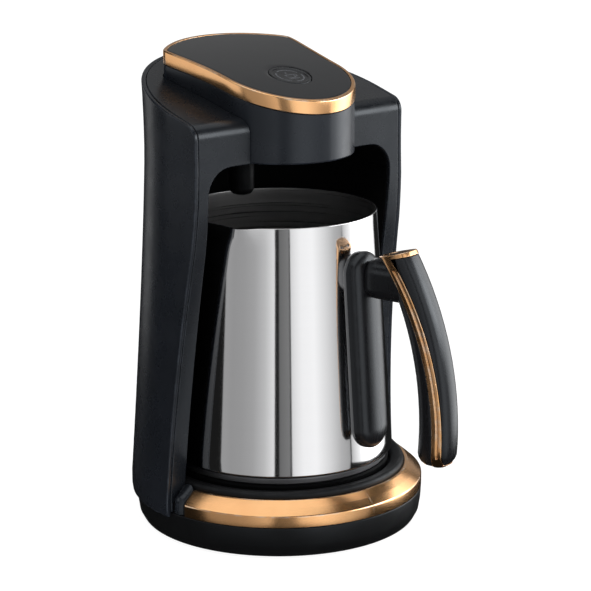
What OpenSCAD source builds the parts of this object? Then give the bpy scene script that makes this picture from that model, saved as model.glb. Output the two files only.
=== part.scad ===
// Electric turkish coffee maker with a lift-out steel pot.
// Millimetres. Origin at the middle of the base, on the table. Front is -Y, up is +Z.

/* [Base] */
// Radius of the base at the top of its black wall
base_r = 75; // [72:0.5:80]
// How much narrower the base is where it stands
base_taper = 3; // [1:0.5:5]
// Height of the top of the black wall
base_wall_top = 17.2; // [15.5:0.1:20]
// Wall thickness of the mouldings
wall = 2.4; // [1.8:0.1:3]
// How far the rubber feet reach below the housing
foot_h = 1.2; // [0.8:0.1:2]
// Radius of a rubber foot
foot_r = 7; // [5:0.5:9]

/* [Base ring trim] */
// Height of the upright part of the rose-gold ring
ring_band_h = 6.1; // [4:0.1:8]
// Width of the sloping top of the ring
ring_top_w = 9.2; // [7:0.1:10]
// Rise of the sloping top of the ring
ring_top_rise = 6.5; // [5:0.1:8]
// Thickness of the ring
ring_t = 1.4; // [1:0.1:2]
// Half the angle that the ring covers round the front
ring_half_angle = 80; // [70:1:82]

/* [Seat and heating plate] */
// Height of the seat collar's bead above the base deck
seat_bead_h = 4.8; // [3:0.1:5.4]
// Width of the seat collar between the heating plate and the ring
seat_w = 8.5; // [7.6:0.1:12]
// Height of the top face of the heating plate
plate_top = 33.5; // [33:0.1:36]
// Thickness of the heating plate
plate_t = 5; // [4:0.1:5]
// Radius of the ring of the tubular element
element_ring_r = 38; // [32:1:44]
// Radius of the element's tube
element_tube_r = 3.7; // [3:0.1:4]

/* [Pot] */
// How far the pot's foot lies inside the edge of the base
pot_foot_in = 15.8; // [15:0.1:20]
// How much smaller the pot's radius is at its rim than at its foot
pot_taper = 8.8; // [5:0.1:14]
// Height of the pot's steel body
pot_h = 127; // [110:1:130]
// Thickness of the pot's steel
pot_wall = 0.9; // [0.7:0.1:1.5]
// Thickness of the heat-spreading disc under the pot
pot_disc_t = 4; // [3:0.1:5]

/* [Pot bay] */
// How far the bay's wall lies inside the edge of the base
bay_foot_in = 10; // [9:0.1:11]
// How much smaller the bay's radius is at the head than at the base
bay_taper = 4.8; // [4:0.1:7]
// Height of the bay's ceiling
bay_top = 194; // [188:1:200]
// Corner radius of the bay's opening
bay_corner_r = 14; // [8:1:20]
// Thickness of the liner
liner_t = 2; // [1.5:0.1:2.4]

/* [Column] */
// How far the column's foot stands out over the base
column_proud = 2.6; // [2.4:0.1:5]
// How much smaller the column's radius is at its waist than at its foot
column_taper = 9.2; // [7:0.1:9.6]
// Height of the waist
column_waist_z = 195; // [185:1:205]
// How sharply the column flares to its foot
column_flare = 1.3; // [1:0.05:1.6]
// Height of the roof plane at the middle of the base
roof_z = 220.3; // [216:0.1:224]
// Slope of the roof, rising to the back, in degrees
roof_slope = 14.9; // [11:0.1:17]
// How far the arms reach forward of the axis at the head
arm_reach_top = 18.5; // [16:0.5:24]
// How far the arms reach forward of the axis at the base
arm_reach_foot = 4; // [3:0.5:8]
// Radius of the bend from the arms' fronts to the roof
arm_bend_r = 8; // [5:0.5:10]

/* [Head] */
// Radius of the head's round nose
nose_r = 36.8; // [34:0.1:38]
// How far the nose's centre lies forward of the axis
nose_fwd = 2.8; // [1:0.1:6]
// Half the width of the head at its back corners
head_back_half = 42.3; // [40:0.1:44]
// How far the head's round back lies inside the column's waist
head_back_in = 9.5; // [8:0.1:12]
// Corner radius at the back of the head
head_corner_r = 5; // [4.6:0.1:8]
// Height of the top surface above the axis
head_top_z = 236.2; // [234:0.1:240]
// Slope of the top surface above the axis, in degrees
head_slope = 13.5; // [11:0.1:15]
// Radius of the crown of the top surface
crown_r = 625; // [500:5:900]
// Height of the rose-gold band
band_h = 7; // [5:0.1:9]
// Thickness of the rose-gold band
band_t = 1.8; // [1.4:0.1:2.2]
// Thickness of the glossy panel
panel_t = 2.6; // [2:0.1:3.2]

/* [Button] */
// Radius of the button
button_r = 11; // [9:0.1:12]
// How far the button's centre lies forward of the axis
button_fwd = 9; // [5:0.5:12]
// How far the button can be pressed
button_travel = 1; // [0.6:0.1:1.2]
// Depth of the button board below the panel's surface
button_board_depth = 10.5; // [10.2:0.1:12]

/* [Overflow sensor] */
// Radius of the sensor's housing
sensor_r = 6.3; // [5:0.1:6.5]
// How far it hangs below the ceiling
sensor_drop = 18.5; // [12:0.5:20]
// How far it sits to the left of the axis
sensor_left = 26; // [22:0.5:26]

/* [Handle] */
// Angle of the handle from the front towards the right
handle_angle = 12.5; // [0:0.5:25]
// Half the width of the mounting plate
plate_half_w = 11.5; // [10:0.5:13]
// Thickness of the mounting plate over the pot's wall
plate_proud = 7; // [6:0.5:9]
// Height of the mounting plate's lower end
plate_z0 = 47; // [44:1:60]
// Height of the mounting plate's upper end
plate_z1 = 149; // [140:1:152]
// Half the height of the rounded arm
arm_half_h = 10.5; // [9:0.5:11]
// Half the width of the rounded arm
arm_half_w = 7.4; // [6:0.2:7.6]
// Height of the arm's axis
arm_z = 136.5; // [130:0.5:138]
// How far the grip reaches out beyond the edge of the base
grip_out = 34.5; // [30:0.5:38]
// Depth of the grip at its lower part
grip_depth = 19; // [16:0.5:21]
// Half the width of the grip
grip_half_w = 8; // [7:0.5:10]
// Radius of the curve of the grip's back
grip_curve_r = 168; // [155:1:185]
// Height of the grip's lower end
grip_z0 = 45.5; // [42:0.5:54]
// Height of the grip's top at its outer edge
grip_z1 = 153.5; // [151:0.5:157]
// Width of the rose-gold band in the grip
grip_band_w = 5.2; // [4:0.1:7]

/* [Fits] */
// Gap between fixed mouldings
gap = 0.15; // [0.1:0.05:0.25]
// Radial clearance of the plunger in the switch
slide_fit = 0.08; // [0.05:0.01:0.1]
// Radial gap round the button
button_gap = 0.3; // [0.2:0.05:0.5]
// Radius of the small screws
screw_r = 1.5; // [1.2:0.1:1.8]

/* [Hidden] */
$fn = 96;

charcoal = [0.13, 0.13, 0.14];
graphite = [0.18, 0.18, 0.19];
gloss_black = [0.08, 0.08, 0.09];
rose_gold = [0.85, 0.62, 0.45];
steel = [0.78, 0.78, 0.80];
dark_steel = [0.45, 0.45, 0.47];

// Radii that follow the base
ring_in_r = base_r - ring_top_w;
plate_r = ring_in_r - seat_w;
pot_foot_r = base_r - pot_foot_in;
pot_rim_r = pot_foot_r - pot_taper;
bay_foot_r = base_r - bay_foot_in;
bay_top_r = bay_foot_r - bay_taper;
column_foot_r = base_r + column_proud;
column_waist_r = column_foot_r - column_taper;
head_back_r = column_waist_r - head_back_in;
grip_reach = base_r + grip_out;

// Base heights
deck_z = base_wall_top + ring_band_h + ring_top_rise - 2;
shoulder_z = base_wall_top + ring_band_h - ring_t * 0.7;
hole_r = ring_in_r - 5.3;
cover_t = 2.2;
cover_top = foot_h + cover_t;
inner_r = base_r - wall;
base_screw_pitch_r = inner_r - 6.6;
base_boss_r = 4;
shell_z0 = base_wall_top - 2.2;

// Column sweep
arm_sweep_z0 = 25;
arm_sweep_z1 = 165;
arm_power = 1.8;
arm_soft = 12;
frame_t = 2.4;
column_steps = 26;
column_top_z = 250;
body_w = 200;

// Head
head_plan_n = 28;
flank_power = 1.6;
head_wall = 2.2;
nose_y = -nose_fwd;
crown_y = crown_r * sin(head_slope);
crown_z = head_top_z - crown_r * cos(head_slope);
button_tilt = asin((crown_y + button_fwd) / crown_r);
button_top_z = crown_z + crown_r * cos(button_tilt);
head_screw_x = nose_r - 13;
head_screw_xy = [[head_screw_x, -20.5], [-head_screw_x, -20.5], [head_back_half - 9.8, 29],
    [9.8 - head_back_half, 29]];
head_boss_r = 3.9;
head_screw_l = 9.4;
sensor_y = -2;

// Handle
pot_z0 = plate_top + pot_disc_t;
pot_z1 = pot_z0 + pot_h;
pot_lean = atan((pot_foot_r - pot_rim_r) / pot_h);
grip_flat_z = grip_z0 + 17;

// ---------- shared shapes ----------

function lerp(a, b, t) = a + (b - a) * t;
function arc(cx, cy, r, a0, a1, n) =
    [for (i = [0:n]) let(a = lerp(a0, a1, i / n)) [cx + r * cos(a), cy + r * sin(a)]];
function mirrored(half) =
    concat(half, [for (i = [len(half) - 1:-1:0]) if (abs(half[i].x) > 0.001) [-half[i].x, half[i].y]]);
// Moves each point of a counter-clockwise outline inwards by d
function inset(p, d) = let(n = len(p)) [for (i = [0:n - 1])
    let(t = p[(i + 1) % n] - p[(i + n - 1) % n]) p[i] + d * [-t.y, t.x] / norm(t)];
// Radius of the column's outside at height z
function column_r(z) =
    column_waist_r + (z > column_waist_z
        ? 0.6 * pow((z - column_waist_z) / 29, 2)
        : (column_foot_r - column_waist_r)
            * pow(min(1, (column_waist_z - z) / (column_waist_z - arm_sweep_z0)), column_flare));
// Radius of the bay at height z
function bay_r(z) =
    bay_top_r + (bay_foot_r - bay_top_r) * pow(max(0, (bay_top - 11 - z) / (bay_top - 52)), 2);
function arm_raw(z) = -arm_reach_foot - (arm_reach_top - arm_reach_foot)
    * pow(max(0, min(1, (z - arm_sweep_z0) / (arm_sweep_z1 - arm_sweep_z0))), arm_power);
// Y of the arms' front faces at height z
function arm_y(z) = (arm_raw(z - arm_soft) + arm_raw(z) + arm_raw(z + arm_soft)) / 3;
function roof_at(y) = roof_z + y * tan(roof_slope);
// Radius of the pot's outside at height z
function pot_r(z) = lerp(pot_foot_r, pot_rim_r, (z - pot_z0) / pot_h);

// Extrudes a (y, z) outline along X
module along_x(w = body_w) rotate([90, 0, 90]) linear_extrude(height = w, center = true) children();
// Extrudes an (x, z) outline along Y, symmetric about y
module along_y(w) rotate([90, 0, 0]) linear_extrude(height = w, center = true) children();
module ring(r_out, r_in, h) difference() {
    cylinder(r = r_out, h = h);
    translate([0, 0, -1]) cylinder(r = r_in, h = h + 2);
}
module around(n, r, first = 0) for (i = [0:n - 1])
    rotate([0, 0, first + i * 360 / n]) translate([r, 0, 0]) children();

// Solid with a round back and straight sides in front, from (radius, height) points
module u_solid(points, front = 60) {
    rotate_extrude() polygon(points);
    translate([0, -front / 2, 0]) along_y(front) polygon(mirrored(points));
}

// Polyhedron through rings of equal point counts, closed by flat ends
module loft(rings) {
    n = len(rings[0]);
    m = len(rings);
    points = [for (ring_pts = rings) for (p = ring_pts) p];
    sides = [for (k = [0:m - 2]) for (i = [0:n - 1]) let(a = k * n + i, b = k * n + (i + 1) % n)
        each [[a, b + n, b], [a, a + n, b + n]]];
    polyhedron(points, concat(sides, [[for (i = [0:n - 1]) i]],
        [[for (i = [n - 1:-1:0]) (m - 1) * n + i]]), convexity = 6);
}

// ---------- base ----------

module base_outline_outer() polygon([
    [0, foot_h], [base_r - base_taper - 0.6, foot_h], [base_r - base_taper, foot_h + 0.8],
    [base_r - base_taper * 0.42, foot_h + 4], [base_r - base_taper * 0.12, foot_h + 9.8],
    [base_r, base_wall_top], [base_r - ring_t - gap, base_wall_top],
    [base_r - ring_t - gap, shoulder_z], [ring_in_r - gap, deck_z], [0, deck_z]]);

module base_housing() color(charcoal) difference() {
    union() {
        rotate_extrude() base_outline_outer();
        // platform that carries the column
        rotate([0, 0, 4]) rotate_extrude(angle = 172)
            polygon([[ring_in_r - 2, shoulder_z - 1.5], [base_r - ring_t - gap, shoulder_z - 1.5],
                [base_r - ring_t - gap, deck_z], [ring_in_r - 2, deck_z]]);
    }
    // hollow, open below
    difference() {
        rotate_extrude() polygon([
            [0, foot_h - 1], [base_r - base_taper - wall, foot_h - 1],
            [base_r - base_taper * 0.3 - wall, foot_h + 8], [inner_r - 0.1, base_wall_top - 1],
            [base_r - ring_t - wall, shoulder_z - wall * 0.6], [ring_in_r - 1, deck_z - wall],
            [0, deck_z - wall]]);
        around(4, base_screw_pitch_r, 45) cylinder(r = base_boss_r, h = deck_z);
    }
    cylinder(r = hole_r, h = deck_z + 1);
    // seat of the bottom cover
    translate([0, 0, -1]) cylinder(r = base_r - base_taper - 1.7, h = 1 + cover_top + gap);
    around(4, base_screw_pitch_r, 45) cylinder(r = screw_r + 0.1, h = cover_top + 14);
    // screws of the liner go up through the deck
    for (a = column_screw_angles) rotate([0, 0, a]) translate([column_screw_r, 0, 0]) {
        translate([0, 0, deck_z - 10]) cylinder(r = screw_r + 0.2, h = 12);
        translate([0, 0, deck_z - 12]) cylinder(r = screw_head_r + 0.2, h = 12 - deck_seat);
    }
    // hole for the cord gland
    translate([0, base_r - 8, gland_z]) rotate([-90, 0, 0]) cylinder(r = gland_r + gap, h = 20);
    // wires pass up into the column
    for (x = wire_x) translate([x, wire_y, deck_z - 9]) cylinder(r = wire_r + 0.7, h = 12);
}

screw_head_r = screw_r * 2;
column_screw_angles = [50, 76, 104, 130];
column_screw_r = bay_foot_r + 4.4;
flange_t = 2.4;
flange_out_r = column_foot_r - wall - 0.6;
// Thickness of the deck over the heads of the liner's screws
deck_seat = 3.4;

module screw(length, head_h = 1.6) {
    cylinder(r = screw_head_r, h = head_h);
    cylinder(r = screw_r, h = length);
}

// The ring follows the deck of the base and ends in front of the arms' feet
module base_ring_trim() color(rose_gold)
    rotate([0, 0, -90 - ring_half_angle]) rotate_extrude(angle = 2 * ring_half_angle)
        polygon(concat(
            [[base_r - ring_t, base_wall_top + gap], [base_r - 0.3, base_wall_top + gap],
                [base_r, base_wall_top + gap + 0.3]],
            arc(base_r - 1.2, base_wall_top + ring_band_h - 1.2, 1.2, 0, 50, 4),
            [[base_r - ring_top_w * 0.25, base_wall_top + ring_band_h + ring_top_rise * 0.33],
                [base_r - ring_top_w * 0.5, base_wall_top + ring_band_h + ring_top_rise * 0.64],
                [base_r - ring_top_w * 0.72, base_wall_top + ring_band_h + ring_top_rise * 0.86],
                [ring_in_r + 1.2, base_wall_top + ring_band_h + ring_top_rise - 0.2],
                [ring_in_r + 0.4, base_wall_top + ring_band_h + ring_top_rise - 0.1],
                [ring_in_r, base_wall_top + ring_band_h + ring_top_rise - 0.5],
                [ring_in_r, deck_z + gap * 2], [base_r - ring_t, shoulder_z + gap * 2]]));

seat_out_r = ring_in_r - 0.25;
seat_in_r = plate_r + 0.6;
flange_z = plate_top - plate_t;

// Heat-resistant collar: bead, skirt in the deck's hole, flange under the plate
module seat_ring() color(gloss_black) rotate_extrude() polygon(concat(
    [[seat_out_r, deck_z + gap]],
    [[seat_out_r, deck_z + seat_bead_h * 0.55]],
    arc(seat_out_r - 2.2, deck_z + seat_bead_h - 2.2, 2.2, 20, 90, 5),
    [[seat_in_r + 2, deck_z + seat_bead_h - 0.6], [seat_in_r + 0.5, deck_z + seat_bead_h - 1.6],
        [seat_in_r, deck_z + seat_bead_h - 2.4],
        [seat_in_r, flange_z], [plate_r - 5, flange_z], [plate_r - 5, flange_z - 2.6],
        [hole_r - gap, flange_z - 2.6], [hole_r - gap, deck_z + gap]]));

module bottom_cover() color(charcoal) difference() {
    union() {
        translate([0, 0, foot_h]) cylinder(r = base_r - base_taper - 1.85, h = cover_t);
        for (r = [24, 44]) translate([0, 0, cover_top - 0.01]) ring(r, r - 1.6, 2);
    }
    around(4, base_screw_pitch_r, 45) {
        cylinder(r = screw_r + 0.2, h = 20);
        cylinder(r = screw_head_r + 0.2, h = foot_h + 1.75);
    }
    around(4, feet_pitch_r) cylinder(r = foot_r + gap, h = foot_h + 1);
    // vents under the heating plate
    for (i = [-4.5:4.5]) translate([i * 6 - 1.2, -14, 0]) cube([2.4, 28, 20]);
}

feet_pitch_r = base_r - base_taper - 5 - foot_r;

module rubber_feet() color([0.1, 0.1, 0.1]) around(4, feet_pitch_r)
    rotate_extrude() polygon([[0, 0], [foot_r - 0.8, 0], [foot_r, 0.6], [foot_r, foot_h + 1],
        [0, foot_h + 1]]);

module housing_screws() color(steel) around(4, base_screw_pitch_r, 45)
    translate([0, 0, foot_h + 0.1]) screw(cover_top + 10);

gland_r = 3.8;
gland_z = foot_h + 7;

module cord_gland() color(gloss_black) translate([0, base_r, gland_z]) rotate([-90, 0, 0])
    difference() {
        union() {
            translate([0, 0, -7]) cylinder(r = gland_r, h = 8);
            translate([0, 0, -0.2]) cylinder(r1 = gland_r + 1.4, r2 = gland_r + 0.8, h = 2.2);
            translate([0, 0, -7]) cylinder(r = gland_r + 0.8, h = 7 - wall - base_taper * 0.85);
        }
        translate([0, 0, -10]) cylinder(r = 2.9, h = 20);
    }

block_y = base_r - 25;
module terminal_block() color([0.85, 0.84, 0.8]) translate([0, block_y, cover_top + 2]) difference() {
    translate([-15, -6, -2]) cube([30, 12, 12]);
    for (x = [-9, 0, 9]) {
        translate([x, -7, 4]) rotate([-90, 0, 0]) cylinder(r = 2, h = 14);
        translate([x, 0, 4]) cylinder(r = 2.2, h = 10);
    }
}

module heating_plate() color(dark_steel) rotate_extrude() polygon([
    [0, flange_z + 0.05], [plate_r - 0.6, flange_z + 0.05], [plate_r, flange_z + 0.7],
    [plate_r, plate_top - 0.9], [plate_r - 0.9, plate_top], [0, plate_top]]);

element_z = flange_z - element_tube_r;
element_open = 30;

// Tubular element with two cold ends that turn down
module heating_element() color(steel) {
    rotate([0, 0, 90 + element_open]) rotate_extrude(angle = 360 - 2 * element_open)
        translate([element_ring_r, element_z]) circle(r = element_tube_r, $fn = 32);
    for (s = [-1, 1]) rotate([0, 0, 90 + s * (element_open + 7)])
        translate([element_ring_r, 0, element_z - 11]) {
            cylinder(r = 2.4, h = 10, $fn = 32);
            translate([0, 0, -4]) cylinder(r = 1.2, h = 5, $fn = 32);
        }
}

clamp_z = element_z - element_tube_r - 2;

// Steel strip that holds the thermostat up against the plate
module plate_clamp() color(steel) difference() {
    along_y(14) polygon([[-plate_r + 2, flange_z - 2.7], [-plate_r + 2, clamp_z - 1.5],
        [plate_r - 2, clamp_z - 1.5], [plate_r - 2, flange_z - 2.7],
        [plate_r - 4.5, flange_z - 2.7], [plate_r - 4.5, clamp_z],
        [-plate_r + 4.5, clamp_z], [-plate_r + 4.5, flange_z - 2.7]]);
    for (x = [-26, 26]) translate([x, 0, 0]) cylinder(r = 3, h = 60);
}

module thermostat() color([0.75, 0.72, 0.6]) {
    translate([0, 0, clamp_z]) cylinder(r = 8, h = flange_z - clamp_z);
    for (s = [-1, 1]) translate([s * 9.5 - 2.5, -3, clamp_z + 0.02]) cube([5, 6, 1]);
}

module thermal_fuse() color([0.8, 0.8, 0.7]) translate([14, -6, clamp_z + 2.05]) rotate([-90, 0, 0]) {
    cylinder(r = 2, h = 12);
    translate([0, 0, -4]) cylinder(r = 0.6, h = 20);
}

wire_r = 0.9;
wire_x = [-6, 0, 6];
wire_y = base_r - 5.3;
wire_z1 = bay_top + 9;

// Three wires climb from the base between the liner and the shell and enter the head at its back
module wiring_loom() color([0.6, 0.1, 0.1]) for (x = wire_x) {
    path = [[x, block_y + 6.1 + wire_r, cover_top + 6], [x, wire_y, deck_z - 8],
        [x, bay_top_r + liner_t + 1.1, wire_z1], [x, connector_y + wire_r + 0.1, board_z + 5]];
    for (i = [0:2]) hull() for (p = [path[i], path[i + 1]]) translate(p) sphere(r = wire_r, $fn = 10);
}

module column_screws() color(steel) for (a = column_screw_angles)
    rotate([0, 0, a]) translate([column_screw_r, 0, deck_z - deck_seat - 1.6]) screw(15);

// ---------- column ----------

// Solid of the column: the outside of the shell, less d all round
module column_solid(d = 0) u_solid(concat(
    [[0, shell_z0], [column_foot_r - 1.2 - d, shell_z0], [column_foot_r - 0.4 - d, shell_z0 + 1.2],
        [column_foot_r - d, shell_z0 + 4]],
    [for (i = [0:column_steps]) let(z = lerp(arm_sweep_z0, column_top_z, i / column_steps))
        [column_r(z) - d, z]],
    [[0, column_top_z]]));

roof_turn = 90 - roof_slope;
roof_corner_z = roof_at(-arm_reach_top);
bend_z = roof_corner_z - arm_bend_r * tan(roof_turn / 2);

function arm_line(d, z1, n = 24) =
    [for (i = [0:n]) let(z = lerp(shell_z0 - 1, z1, i / n)) [arm_y(z) + d, z]];
// Side view of the column: arm fronts, bend and roof, less d
function side_outline(d) = concat(
    arm_line(d, bend_z),
    [for (i = [1:8]) let(a = 180 - roof_turn * i / 8)
        [-arm_reach_top + arm_bend_r + (arm_bend_r - d) * cos(a), bend_z + (arm_bend_r - d) * sin(a)]],
    [[90, roof_at(90) - d / cos(roof_slope)], [90, shell_z0 - 1]]);

// Casing round the back and sides; its foot laps over the base
module rear_shell() color(charcoal) {
    difference() {
        intersection() {
            column_solid();
            along_x() polygon(side_outline(0));
        }
        column_solid(wall);
        translate([0, 0, shell_z0 - 1]) u_solid([[0, 0], [base_r + gap, 0], [base_r + gap, 8], [0, 8]]);
    }
    // lip that stands on the ledge of the base, below the liner's flange
    rotate([0, 0, 90 - lip_angle]) rotate_extrude(angle = 2 * lip_angle)
        polygon([[base_r - ring_t, lip_z0], [column_foot_r - wall + 0.1, lip_z0],
            [column_foot_r - wall + 0.1, deck_z - 0.03], [base_r - ring_t, deck_z - 0.03]]);
}

lip_angle = 46;
lip_z0 = base_wall_top + 0.05;

// The space of the bay: concave wall, flat ceiling, rounded upper corners
module bay_space(d = 0) intersection() {
    u_solid(concat([[0, deck_z - 10], [bay_r(deck_z) + d, deck_z - 10]],
        [for (i = [0:16]) let(z = lerp(deck_z, bay_top + d, i / 16)) [bay_r(z) + d, z]],
        [[0, bay_top + d]]));
    along_y(200) bay_front(d);
}

module bay_front(d) {
    h = bay_top_r + d;
    z = bay_top - bay_corner_r;
    polygon(concat([[-h - 20, 0], [h + 20, 0], [h + 0.5, z]],
        arc(h - bay_corner_r, z, bay_corner_r, 0, 90, 8),
        arc(-h + bay_corner_r, z, bay_corner_r, 90, 180, 8), [[-h - 0.5, z]]));
}

// Bent panel set into the casing: roof, bend and the two arms' fronts
module front_frame() color(graphite) {
    difference() {
        union() {
            intersection() {
                column_solid(wall + gap);
                difference() {
                    along_x() polygon(side_outline(0));
                    along_x() polygon(side_outline(frame_t));
                }
                translate([0, 0, base_wall_top + gap]) cylinder(r = body_w, h = column_top_z);
            }
            for (s = [-1, 1]) toe(s);
            // posts for the screws in the bay's ceiling
            intersection() {
                for (s = [-1, 1]) translate([s * frame_screw_x, frame_screw_y, bay_top + liner_t + 0.05])
                    cylinder(r = 3.4, h = 40);
                along_x() polygon(side_outline(frame_t / 2));
            }
        }
        translate([0, 0, 0.1]) bay_space();
        base_envelope();
        head_prism(-gap, bay_top - 5, 300);
        for (s = [-1, 1]) translate([s * frame_screw_x, frame_screw_y, bay_top])
            cylinder(r = screw_r + 0.1, h = 14);
    }
}

frame_screw_x = nose_r + 10;
frame_screw_y = 8;

module frame_screws() color(steel) for (s = [-1, 1])
    translate([s * frame_screw_x, frame_screw_y, bay_top - 1.3]) screw(13);

toe_r = 4.6;
toe_angle = ring_half_angle + 3.4;
// Rounded bead that runs up the end of the ring, below an arm
module toe(s) mirror([s > 0 ? 0 : 1, 0, 0]) intersection() {
    rotate([0, 0, -90 + toe_angle]) {
        translate([base_r - toe_r, 0, base_wall_top - 4]) cylinder(r = toe_r, h = ring_band_h + 4);
        translate([base_r - toe_r, 0, base_wall_top + ring_band_h]) {
            sphere(r = toe_r);
            rotate([0, atan(ring_top_rise / ring_top_w) - 90, 0]) cylinder(r = toe_r, h = ring_top_w - 1);
        }
    }
    rotate([0, 0, -90 + ring_half_angle + 0.4]) rotate_extrude(angle = 12)
        polygon([[seat_out_r + gap, base_wall_top + gap], [base_r, base_wall_top + gap],
            [base_r, deck_z + toe_r], [seat_out_r + gap, deck_z + toe_r]]);
}

// What the base fills, with a gap, for the parts that stand on it
module base_envelope() rotate_extrude() polygon([
    [0, 0], [base_r + gap, 0], [base_r + gap, base_wall_top + gap * 0.5],
    [base_r - ring_t - 0.05, base_wall_top + gap * 0.5], [base_r - ring_t - 0.05, shoulder_z + 0.05],
    [ring_in_r - 0.05, deck_z + 0.02], [0, deck_z + 0.02]]);

module bay_liner() color(graphite) difference() {
    union() {
        difference() {
            bay_shell();
            bay_space();
        }
        // flange that rests on the base and traps the casing's lip
        rotate([0, 0, 90 - lip_angle]) rotate_extrude(angle = 2 * lip_angle) polygon([
            [bay_r(deck_z) + 1, deck_z + 0.02], [flange_out_r, deck_z + 0.02],
            [flange_out_r, deck_z + flange_t], [bay_r(deck_z) + 1, deck_z + flange_t]]);
        // bosses for the screws that come up through the base
        difference() {
            for (a = column_screw_angles) rotate([0, 0, a]) translate([column_screw_r, 0, deck_z + 0.02])
                cylinder(r = 3.3, h = 14);
            bay_space();
        }
    }
    along_x() polygon(concat([[-100, 0]], arm_line(frame_t + gap, bend_z),
        [[arm_y(bend_z) + frame_t + gap, 300], [-100, 300]]));
    head_prism(-gap, bay_top - 5, 300);
    for (a = column_screw_angles) rotate([0, 0, a]) translate([column_screw_r, 0, 0])
        cylinder(r = screw_r + 0.1, h = deck_z + 12);
    // screws of the front frame
    for (s = [-1, 1]) translate([s * frame_screw_x, frame_screw_y, 0]) {
        cylinder(r = screw_r + 0.2, h = 300);
        cylinder(r = screw_head_r + 0.2, h = bay_top + 0.35);
    }
    for (x = wire_x) translate([x - wire_r - 0.7, wire_y - 1.4, deck_z - 1])
        cube([2 * (wire_r + 0.7), 12, 5]);
}

module bay_shell() u_solid(concat([[0, deck_z + 0.02]],
    [for (i = [0:16]) let(z = lerp(deck_z + 0.02, bay_top + liner_t, i / 16))
        [bay_r(z) + liner_t, z]], [[0, bay_top + liner_t]]));

// ---------- head ----------

// Half of the head's plan, from the nose round to the middle of the back
function head_half() =
    let(yc = sqrt(pow(head_back_r, 2) - pow(head_back_half, 2)),
        n = head_plan_n,
        side = [for (i = [0:n / 2 - 2]) let(s = i / (n / 2))
            [nose_r + (head_back_half - nose_r) * pow(s, flank_power), lerp(nose_y, yc, s)]],
        corner_a = atan2(yc, head_back_half),
        turn = corner_a + 0.66 * head_corner_r,
        back = head_back_r - head_corner_r)
    concat(
        [for (i = [0:n / 2]) let(a = -90 + 90 * i / (n / 2)) [nose_r * cos(a), nose_y + nose_r * sin(a)]],
        [for (i = [1:len(side) - 1]) side[i]],
        arc(back * cos(turn), back * sin(turn), head_corner_r, -20, turn, 6),
        [for (i = [1:n / 3]) let(a = lerp(turn, 90, i / floor(n / 3)))
            [head_back_r * cos(a), head_back_r * sin(a)]]);

head_plan = mirrored(head_half());

module head_prism(d, z0, z1) translate([0, 0, z0]) linear_extrude(height = z1 - z0)
    polygon(inset(head_plan, d));

// Everything under the crowned top surface, less d
module under_crown(d) translate([0, crown_y, crown_z]) rotate([0, 90, 0])
    cylinder(r = crown_r - d, h = 140, center = true, $fn = 720);

module head_housing() color(charcoal) difference() {
    union() {
        intersection() {
            difference() {
                head_prism(0, bay_top, 260);
                head_prism(head_wall, bay_top - 1, 261);
            }
            under_crown(band_h + gap);
        }
        // screw bosses
        for (p = head_screw_xy) intersection() {
            for (k = [1, 1.07]) translate([p.x * k, p.y * k, bay_top + wall + 0.1])
                cylinder(r = head_boss_r, h = board_z - bay_top - wall - 0.6);
            head_prism(0.5, bay_top, 260);
        }
        // flange that rests on the ceiling
        intersection() {
            translate([0, 0, bay_top + liner_t + 0.05]) linear_extrude(height = 2)
                difference() {
                    polygon(inset(head_plan, -1.5));
                    polygon(inset(head_plan, 1));
                }
            translate([-100, arm_y(bend_z) + frame_t + 0.6, 0]) cube([200, 200, 300]);
        }
    }
    for (p = head_screw_xy) translate([p.x, p.y, bay_top])
        cylinder(r = screw_r + 0.1, h = head_screw_l + 0.3);
    // way in for the wires
    translate([-8, head_back_r - 8, board_z - 3]) cube([16, 10, 6]);
}

module head_bottom_cover() color(graphite) difference() {
    union() {
        head_prism(head_wall + gap, bay_top, bay_top + wall);
        // posts for the control board
        for (x = board_posts_x) for (y = board_posts_y) translate([x, y, bay_top])
            cylinder(r = 2.6, h = board_z - bay_top);
    }
    for (p = head_screw_xy) translate([p.x, p.y, bay_top - 1]) {
        cylinder(r = screw_r + 0.2, h = 10);
        cylinder(r = screw_head_r + 0.2, h = 2.7);
    }
    translate([-sensor_left, sensor_y, bay_top - 1]) cylinder(r = sensor_r - 0.8 + gap, h = 10);
}

board_posts_x = [-14, 24];
board_posts_y = [-12, 26];
board_z = bay_top + 11;
connector_y = 36;
board_x0 = -18;
board_y0 = -17;
board_w = 47;

module head_screws() color(steel) for (p = head_screw_xy)
    translate([p.x, p.y, bay_top + 0.1]) screw(head_screw_l);

module overflow_sensor() color(gloss_black) translate([-sensor_left, sensor_y, 0]) difference() {
    union() {
        translate([0, 0, bay_top - sensor_drop]) rotate_extrude() polygon(concat(
            [[0, 0]], arc(sensor_r - 3.5, 3.5, 3.5, -90, 0, 6),
            [[sensor_r, sensor_drop - gap], [0, sensor_drop - gap]]));
        translate([0, 0, bay_top - 1]) cylinder(r = sensor_r - 0.8, h = 1 + wall + 2);
        translate([0, 0, bay_top + wall + 0.02]) cylinder(r = sensor_r, h = 1.6);
    }
    translate([0, 0, bay_top - sensor_drop - 1]) cylinder(r = 2.3, h = 4);
}

module sensor_lens() color([0.1, 0.02, 0.05]) translate([-sensor_left, sensor_y, bay_top - sensor_drop])
    rotate_extrude() polygon([[0, 0.3], [1.6, 0.4], [2.2, 1], [2.2, 3], [0, 3]]);

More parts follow.
